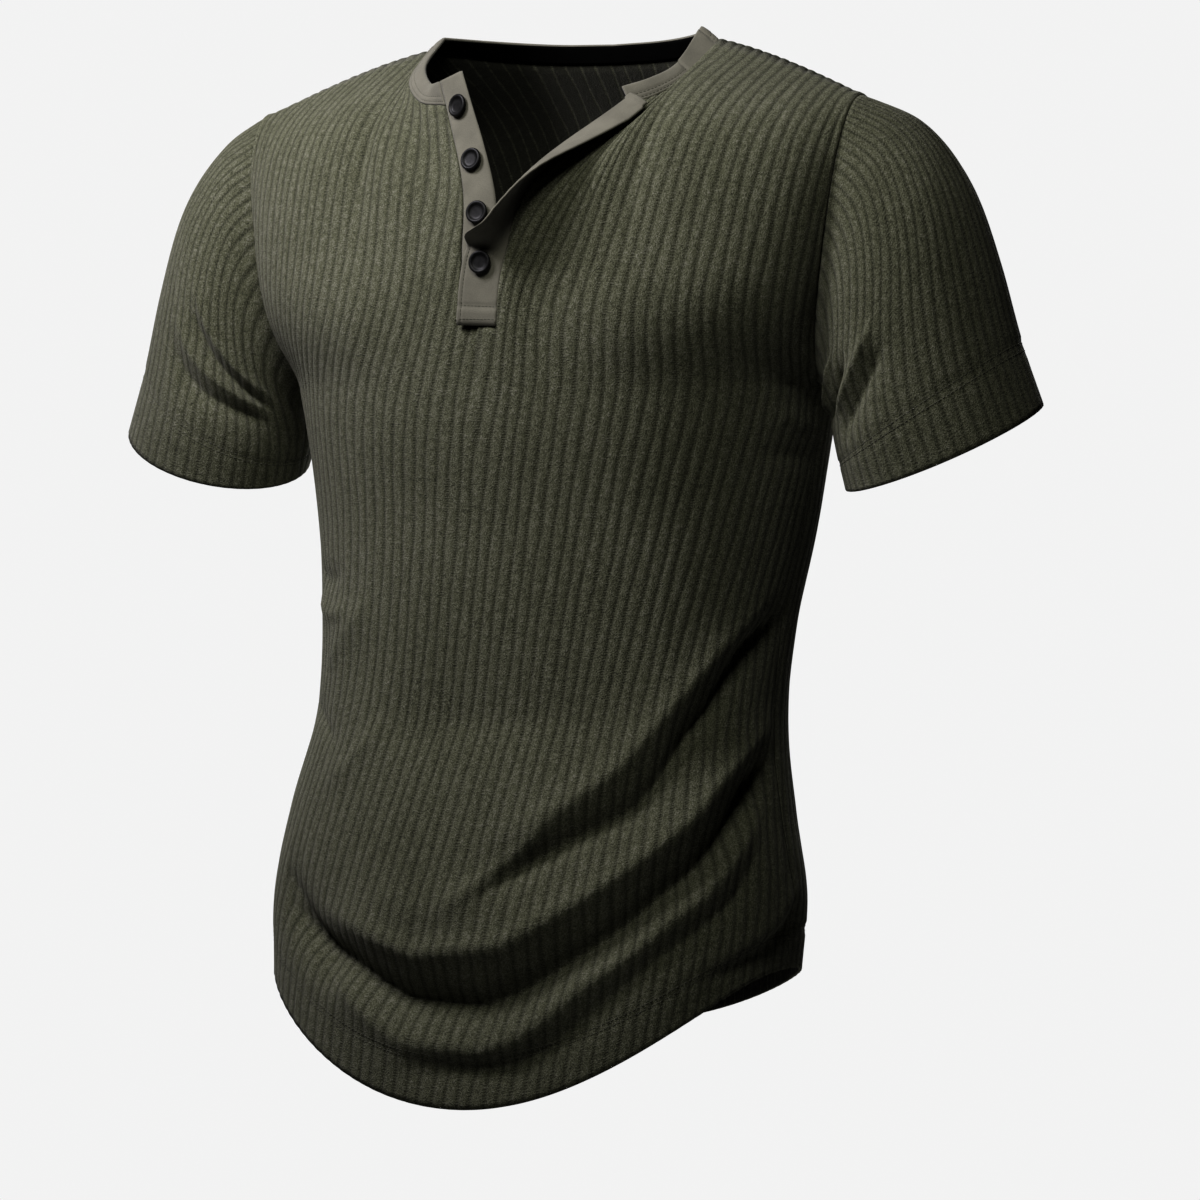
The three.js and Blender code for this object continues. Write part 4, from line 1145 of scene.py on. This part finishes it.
# %% [markdown]
# ## The buttonhole strip
#
# This strip is sewn to the left edge of the slot and laps over the other, held by the
# lowest button. Above that button it is free, and it rolls over itself like a lapel, so
# that its inside shows as a pale band. It goes straight across where it is closed, and a
# growing turn beside the seam, with a slight curl across the rest, rolls it over where it
# is open. Past the neckband's seam it runs on straight and a little narrower to its cut
# end. A sunk row and the box of stitches below it close its foot on the panel.

# %% The buttonhole strip's seam line
END_SHARE = 0.3
STRAIGHT_ROWS = 12
STEADY_FROM = 0.85
over_at, over_rail, over_facing = strip_rail(SLOT_LEFT, 0)
rail_length = np.linalg.norm(np.diff(over_rail, axis=0), axis=1).sum()
band_height = np.linalg.norm(neck_rim[0] - body[0][-1, SLOT_LEFT])
seam_row = int(np.searchsorted(over_at, 1 - band_height / rail_length))
straight = unit(over_rail[seam_row] - over_rail[seam_row - STRAIGHT_ROWS])
past_seam = (over_at[seam_row:] - over_at[seam_row]) * rail_length * END_SHARE
over_rail[seam_row:] = over_rail[seam_row] + straight * past_seam[:, None]
up_rail = unit(np.gradient(over_rail, axis=0))
over_face = unit(over_facing - up_rail * np.einsum("ij,ij->i", over_facing, up_rail)[:, None])
over_across = np.cross(up_rail, over_face)
over_across *= -np.sign(over_across[:, :1])
over_start = over_rail + over_across * STRIP_START
steady = int(np.searchsorted(over_at, STEADY_FROM))
over_across[steady:], over_face[steady:] = over_across[steady], over_face[steady]
print("neckband seam at strip row", seam_row)

# %% Roll the buttonhole strip over
# share up the strip, turn beside the seam in degrees, curl across the rest
ROLL = np.array([
    (0, 0, 0), (0.2, 0, 0), (0.232, 0, 0), (0.262, 36, 8), (0.3, 66, 14), (0.36, 84, 18),
    (0.44, 101, 22), (0.55, 120, 26), (0.75, 143, 26), (1, 150, 24),
])
OVER_COLUMNS = 41
STRIP_LIFT = 2.5
TURN_WIDTH = 8
END_TAPER, TAPER_FROM = 7, 0.5
FOOT_STAND, FOOT_TILT, FOOT_REACH = 1.1, 0.75, 2.4
seam_turn, curl = np.radians(through(ROLL[:, 0], ROLL[:, 1:], over_at)).T
tilt = STRIP_LIFT / STRIP_WIDTH * (1 - ease(2 * seam_turn))
from_seam = np.linspace(0, STRIP_WIDTH, OVER_COLUMNS)
turning = (tilt[:, None] + seam_turn[:, None] * ease(from_seam / TURN_WIDTH)
           + curl[:, None] * from_seam / STRIP_WIDTH)
ahead = (over_across[:, None] * np.cos(turning)[..., None]
         + over_face[:, None] * np.sin(turning)[..., None])
over_out = (-over_across[:, None] * np.sin(turning)[..., None]
            + over_face[:, None] * np.cos(turning)[..., None])
over_out[:, 0] = over_facing
over_width = STRIP_WIDTH - END_TAPER * ease((over_at - TAPER_FROM) / (1 - TAPER_FROM))
steps = ahead * over_width[:, None, None] / (OVER_COLUMNS - 1)
steps[:, 0] = 0
over_mid = over_start[:, None] + np.cumsum(steps, axis=1)
foot_tilt = FOOT_TILT * STRIP_LIFT * from_seam[:, None] / STRIP_WIDTH
over_mid[0] += over_face[0] * (FOOT_STAND - foot_tilt)
over_mid[0] -= up_rail[0] * FOOT_REACH
print("width at the foot and at the cut end:", over_width[[0, -1]])

# %% Sew the buttonhole strip
EDGE_STITCH_MM = 3
EDGE_DIP, EDGE_DIP_WIDTH = 0.35, 0.8
BAR_TOP = 9
BAR_DIP, BAR_DIP_WIDTH = 0.55, 0.9
BOX_RAISE, BOX_EDGE = 0.5, 1.5
over_height = over_at * np.linalg.norm(np.diff(over_rail, axis=0), axis=1).sum()
over_fall = rounded_edges(OVER_COLUMNS)
over_pressed = np.exp(-(((from_seam - STRIP_WIDTH + EDGE_STITCH_MM) / EDGE_DIP_WIDTH) ** 2))
over_pressed = EDGE_DIP * over_pressed[None, :, None]
over_bar = (BAR_DIP * np.exp(-(((over_height - BAR_TOP) / BAR_DIP_WIDTH) ** 2))
            - BOX_RAISE * ease((BAR_TOP - 1 - over_height) / BOX_EDGE))[:, None, None]
over_surface = over_mid - over_out * (over_fall + over_pressed + over_bar)
overlap = cloth(
    "placket_overlap", over_surface, over_mid - over_out * (STRIP_WALL - over_fall),
    strip_uv(over_at, OVER_COLUMNS), [JERSEY], ["placket_overlap"],
)

# %% [markdown]
# ## Buttons
#
# Each button is a turned disc with a raised, rounded rim round a sunken middle. Its holes
# and thread are too fine to make out at this distance, and they are left out. Turning an
# outline gives the rim its even gleam. The button stands on its strip where the frame's
# button stands: the table gives the place, the strip the tilt, and the thread's shank the
# height above the cloth.

# %% Turn a button
# radius and height
BUTTON_OUTLINE = [
    (0.0, 0), (5.0, 0), (6.4, 0.25), (7.2, 0.8), (7.5, 1.5), (7.45, 2.1), (7.1, 2.6),
    (6.5, 2.85), (5.9, 2.8), (5.3, 2.45), (4.8, 1.95), (4.2, 1.72), (3.0, 1.65),
    (1.5, 1.62), (0.0, 1.6),
]
BUTTON_SIDES = 48


def turned_points(outline, sides):
    turns = np.arange(sides) * 2 * math.pi / sides
    radius, height = np.array(outline).T
    return np.stack([
        radius[:, None] * np.cos(turns), radius[:, None] * np.sin(turns),
        np.repeat(height[:, None], sides, 1),
    ], -1)


def button_piece(name, centre, normal, tangent):
    """The turned outline as a closed disc, seated at a place on its strip."""
    turn = np.stack([tangent, np.cross(normal, tangent), normal], -1)
    rings = turned_points(BUTTON_OUTLINE, BUTTON_SIDES)
    corners = np.concatenate([rings[0, :1], rings[1:-1].reshape(-1, 3), rings[-1, :1]])
    top = len(corners) - 1
    last_ring = top - BUTTON_SIDES
    faces = []
    for s in range(BUTTON_SIDES):
        n = (s + 1) % BUTTON_SIDES
        faces.append((0, 1 + n, 1 + s))
        for a in range(1, last_ring, BUTTON_SIDES):
            b = a + BUTTON_SIDES
            faces.append((a + s, a + n, b + n, b + s))
        faces.append((last_ring + s, last_ring + n, top))
    mesh = bpy.data.meshes.new(name)
    mesh.from_pydata(((corners @ turn.T + centre) * MM).tolist(), [], faces)
    mesh.shade_smooth()
    mesh.materials.append(BUTTON_PLASTIC)
    return finish_piece(bpy.data.objects.new(name, mesh), [name])


print("button outline points:", len(BUTTON_OUTLINE))

# %% Seat the buttons
BUTTON_STAND = 0.8
# name, share up the strip, share across it, whether it goes through the buttonhole strip
BUTTON_SEATS = [
    ("button_1", 0.89, 0.55, False), ("button_2", 0.665, 0.5, False),
    ("button_3", 0.435, 0.46, False), ("button_4", 0.185, 0.53, True),
]


def strip_place(mid, at, up, across):
    """A place on a strip, with the row and column just before it."""
    row = np.interp(up, at, np.arange(len(at)))
    column = across * (mid.shape[1] - 1)
    i, j = int(row), int(column)
    return mix(mix(mid[i, j], mid[i, j + 1], column - j),
               mix(mid[i + 1, j], mid[i + 1, j + 1], column - j), row - i), i, j


for name, up, across, on_top in BUTTON_SEATS:
    mid, at, out = (over_mid, over_at, over_out) if on_top else (under_mid, under_at, under_out)
    place, i, j = strip_place(mid, at, up, across)
    normal = out[i, j] * (1 if out[i, j, 1] < 0 else -1)
    tangent = unit(mid[i + 1, j] - mid[i, j])
    tangent = unit(tangent - normal * (tangent @ normal))
    centre = place + normal * BUTTON_STAND
    button_piece(name, centre, normal, tangent)
    print(name, "at", centre.round(1))

# %% [markdown]
# ## Stitching
#
# Twin needles turn up the hems and press down the seams. Stitches are modelled one by one
# as small rounded bars along a line on the cloth, a little sunk into it, because a line in
# a material would not catch the light. They ride with the cloth.

# %% Stitch maker
STITCH_SIDES = 5
# share of the length, share of the radius
STITCH_PROFILE = [(-0.36, 0.8), (0.0, 1.0), (0.36, 0.8)]
STITCH_CORNERS = len(STITCH_PROFILE) * STITCH_SIDES + 2
LOOK_AHEAD = 0.5


def read_line(points, run, at):
    return np.stack([np.interp(at, run, points[:, k]) for k in range(3)], -1)


def stitch_faces(base):
    """The faces of one bar whose corners start at base: three rings, then its two ends."""
    first_end, last_end = base + STITCH_CORNERS - 2, base + STITCH_CORNERS - 1
    last_ring = (len(STITCH_PROFILE) - 1) * STITCH_SIDES
    faces = []
    for k in range(STITCH_SIDES):
        m = (k + 1) % STITCH_SIDES
        for row in range(base, base + last_ring, STITCH_SIDES):
            above = row + STITCH_SIDES
            faces.append((row + k, row + m, above + m, above + k))
        faces.append((first_end, base + m, base + k))
        faces.append((last_end, base + last_ring + k, base + last_ring + m))
    return faces


def stitch_bars(name, lines, length, radius, pitch):
    """Bars along each line; a line is its points and the cloth's outward directions."""
    round_turns = np.arange(STITCH_SIDES) * 2 * math.pi / STITCH_SIDES
    vertices, faces = [], []
    for points, out in lines:
        run = np.concatenate([[0], np.cumsum(np.linalg.norm(np.diff(points, axis=0), axis=1))])
        at = np.arange(pitch / 2, run[-1], pitch)
        places = read_line(points, run, at)
        along = unit(read_line(points, run, at + LOOK_AHEAD)
                     - read_line(points, run, at - LOOK_AHEAD))
        normals = unit(read_line(out, run, at))
        for place, a, n, s in zip(places, along, normals, np.cross(along, normals)):
            faces += stitch_faces(len(vertices))
            ring = [s * math.cos(t) + n * math.sin(t) for t in round_turns]
            for share, width in STITCH_PROFILE:
                vertices += [place + a * share * length + r * width * radius for r in ring]
            vertices += [place - a * 0.5 * length, place + a * 0.5 * length]
    mesh = bpy.data.meshes.new(name)
    mesh.from_pydata((np.array(vertices) * MM).tolist(), [], faces)
    mesh.shade_smooth()
    mesh.materials.append(THREAD)
    print(name, "stitches:", len(vertices) // STITCH_CORNERS)
    return finish_piece(bpy.data.objects.new(name, mesh), [])


print("corners of one stitch:", STITCH_CORNERS)

# %% [markdown]
# ## Twin rows at hem and cuffs
#
# The hem of the body and of each sleeve is turned up and held by two parallel rows, a
# thumb's width above the edge. Each row is read off the finished surface at its height, so
# that it follows the ribs and creases and sits in the dip that the stitches pull.

# %% Stitch the hems
STITCH_LIFT = 0.12
# length, radius and pitch of the stitches, in millimetres
HEM_STITCH, BAND_STITCH, STRIP_STITCH = (2.3, 0.3, 3.1), (2.0, 0.25, 2.7), (1.9, 0.22, 2.5)


def row_across(name, height):
    """A line across a piece at a height above its first row, with its facings."""
    outer, out = surfaces[name]
    run = run_along(outer)
    k = int(np.searchsorted(run, height))
    t = (height - run[k - 1]) / (run[k] - run[k - 1])
    facing = unit(mix(out[k - 1], out[k], t))
    return mix(outer[k - 1], outer[k], t) + facing * STITCH_LIFT, facing


def hem_rows(*names):
    return [row_across(name, at) for name in names for at in HEM_ROWS]


stitch_bars("hem_stitches", hem_rows("front_panel", "back_panel"), *HEM_STITCH)
stitch_bars("cuff_stitches", hem_rows("sleeve_left", "sleeve_right"), *HEM_STITCH)

# %% [markdown]
# ## Rows on the neckband and the buttonhole strip
#
# Two rows hold the band's seam flat, and one row runs up the strip beside its free edge.
# The strip's foot is closed by two short rows across it, above and below its box.

# %% Stitch the neckband and the strip
BOX_ROW = 1.5


def lifted(surface, facing):
    return surface + facing * STITCH_LIFT, facing


def band_line(share):
    row = share * (BAND_ROWS - 1)
    low, part = int(row), row % 1
    facing = unit(mix(band_out[low], band_out[low + 1], part))
    middle = mix(band_mid[low], band_mid[low + 1], part)
    return middle + facing * (band_profile(share) + STITCH_LIFT), facing


stitch_bars("neckband_stitches", [band_line(share) for share in BAND_STITCH_SHARES],
            *BAND_STITCH)
edge_column = int(np.argmin(np.abs(from_seam - STRIP_WIDTH + EDGE_STITCH_MM)))
bar_rows = [int(np.argmin(np.abs(over_height - at))) for at in (BOX_ROW, BAR_TOP)]
strip_lines = [lifted(over_surface[2:, edge_column], over_out[2:, edge_column])]
strip_lines += [lifted(over_surface[k, 2:-2], over_out[k, 2:-2]) for k in bar_rows]
stitch_bars("strip_stitches", strip_lines, *STRIP_STITCH)

# %% [markdown]

# %% [markdown]
# ## Light
#
# One soft lamp stands high at the picture's upper left, almost beside the shirt, so that
# its light rakes over the ribs and the right side falls into deep shade. A second one,
# high in front, keeps the band, the strips and the chest readable. Two lamps behind reach
# only the back, for anyone who looks there. The sky gives hardly any light, because soft
# light from all sides would fill the folds. A view gamma below 1 deepens the shadows, as
# in the photograph.

# %% Lamps
SUBJECT = Vector((0.0, 0.0, -0.3))
RIGHT = Vector((math.cos(AZIMUTH), math.sin(AZIMUTH), 0))
TOWARD = Vector((math.sin(AZIMUTH), -math.cos(AZIMUTH), 0))


def lamp(name, right, toward, up, size, power, colour):
    """A round lamp that faces the shirt, placed by metres in the picture's directions."""
    data = bpy.data.lights.new(name, "AREA")
    data.shape = "DISK"
    data.size = size
    data.energy = power
    data.color = colour
    light = bpy.data.objects.new(name, data)
    bpy.context.scene.collection.objects.link(light)
    light.location = SUBJECT + RIGHT * right + TOWARD * toward + Vector((0, 0, up))
    light.rotation_euler = (SUBJECT - light.location).to_track_quat("-Z", "Y").to_euler()


lamp("key_lamp", -0.7, 0.34, 0.84, 0.36, 17.5, (1, 0.97, 1.04))
lamp("top_lamp", -0.25, 1.0, 0.98, 0.5, 11, (1, 1, 0.92))
lamp("back_lamp", 0.5, -1.7, 0.6, 1.0, 34, (1, 1, 0.97))
lamp("back_fill", -0.7, -1.7, 0.3, 1.0, 18, (1, 1, 0.97))
print("lamps:", len(bpy.data.lights))

# %% Sky and tone
SKY_COLOUR, SKY_STRENGTH = (1, 1, 0.72, 1), 0.004
BACKGROUND = 0.912
VIEW_GAMMA = 0.8
world = bpy.data.worlds.new("studio")
world.use_nodes = True
bpy.context.scene.world = world
tree = world.node_tree
soft = tree.nodes["Background"]
soft.inputs["Color"].default_value = SKY_COLOUR
soft.inputs["Strength"].default_value = SKY_STRENGTH
pale = add_node(tree, "ShaderNodeBackground", in_Color=(*grey(BACKGROUND), 1), in_Strength=1.0)
paths = add_node(tree, "ShaderNodeLightPath")
choose = add_node(tree, "ShaderNodeMixShader")
tree.links.new(paths.outputs["Is Camera Ray"], choose.inputs["Fac"])
tree.links.new(soft.outputs[0], choose.inputs[1])
tree.links.new(pale.outputs[0], choose.inputs[2])
tree.links.new(choose.outputs[0], tree.nodes["World Output"].inputs["Surface"])
bpy.context.scene.view_settings.view_transform = "Standard"
bpy.context.scene.view_settings.gamma = VIEW_GAMMA
print("background:", BACKGROUND, "view gamma:", VIEW_GAMMA)

# %% [markdown]
# ## Floor
#
# The photograph shows the shirt alone before a pale ground. The floor lies well below the
# hem, out of that picture, and shows only when the camera looks down.

# %% Floor
FLOOR_Z, FLOOR_HALF = -2.2, 2.2
FLOOR_SCALE = 3
corners = [(x * FLOOR_HALF, y * FLOOR_HALF, FLOOR_Z)
           for x, y in ((-1, -1), (1, -1), (1, 1), (-1, 1))]
floor_mesh = bpy.data.meshes.new("floor")
floor_mesh.from_pydata(corners, [], [(0, 1, 2, 3)])
floor = bpy.data.objects.new("floor", floor_mesh)
bpy.context.scene.collection.objects.link(floor)
floor_material, floor_tree, floor_shader = new_material("pale_floor")
floor_tone = ramp(floor_tree, noise(floor_tree, FLOOR_SCALE, 2),
                  [(0.3, grey(0.78)), (0.7, grey(0.82))])
floor_tree.links.new(floor_tone, floor_shader.inputs["Base Color"])
floor_shader.inputs["Roughness"].default_value = 0.8
floor_mesh.materials.append(floor_material)
print("floor at", FLOOR_Z)
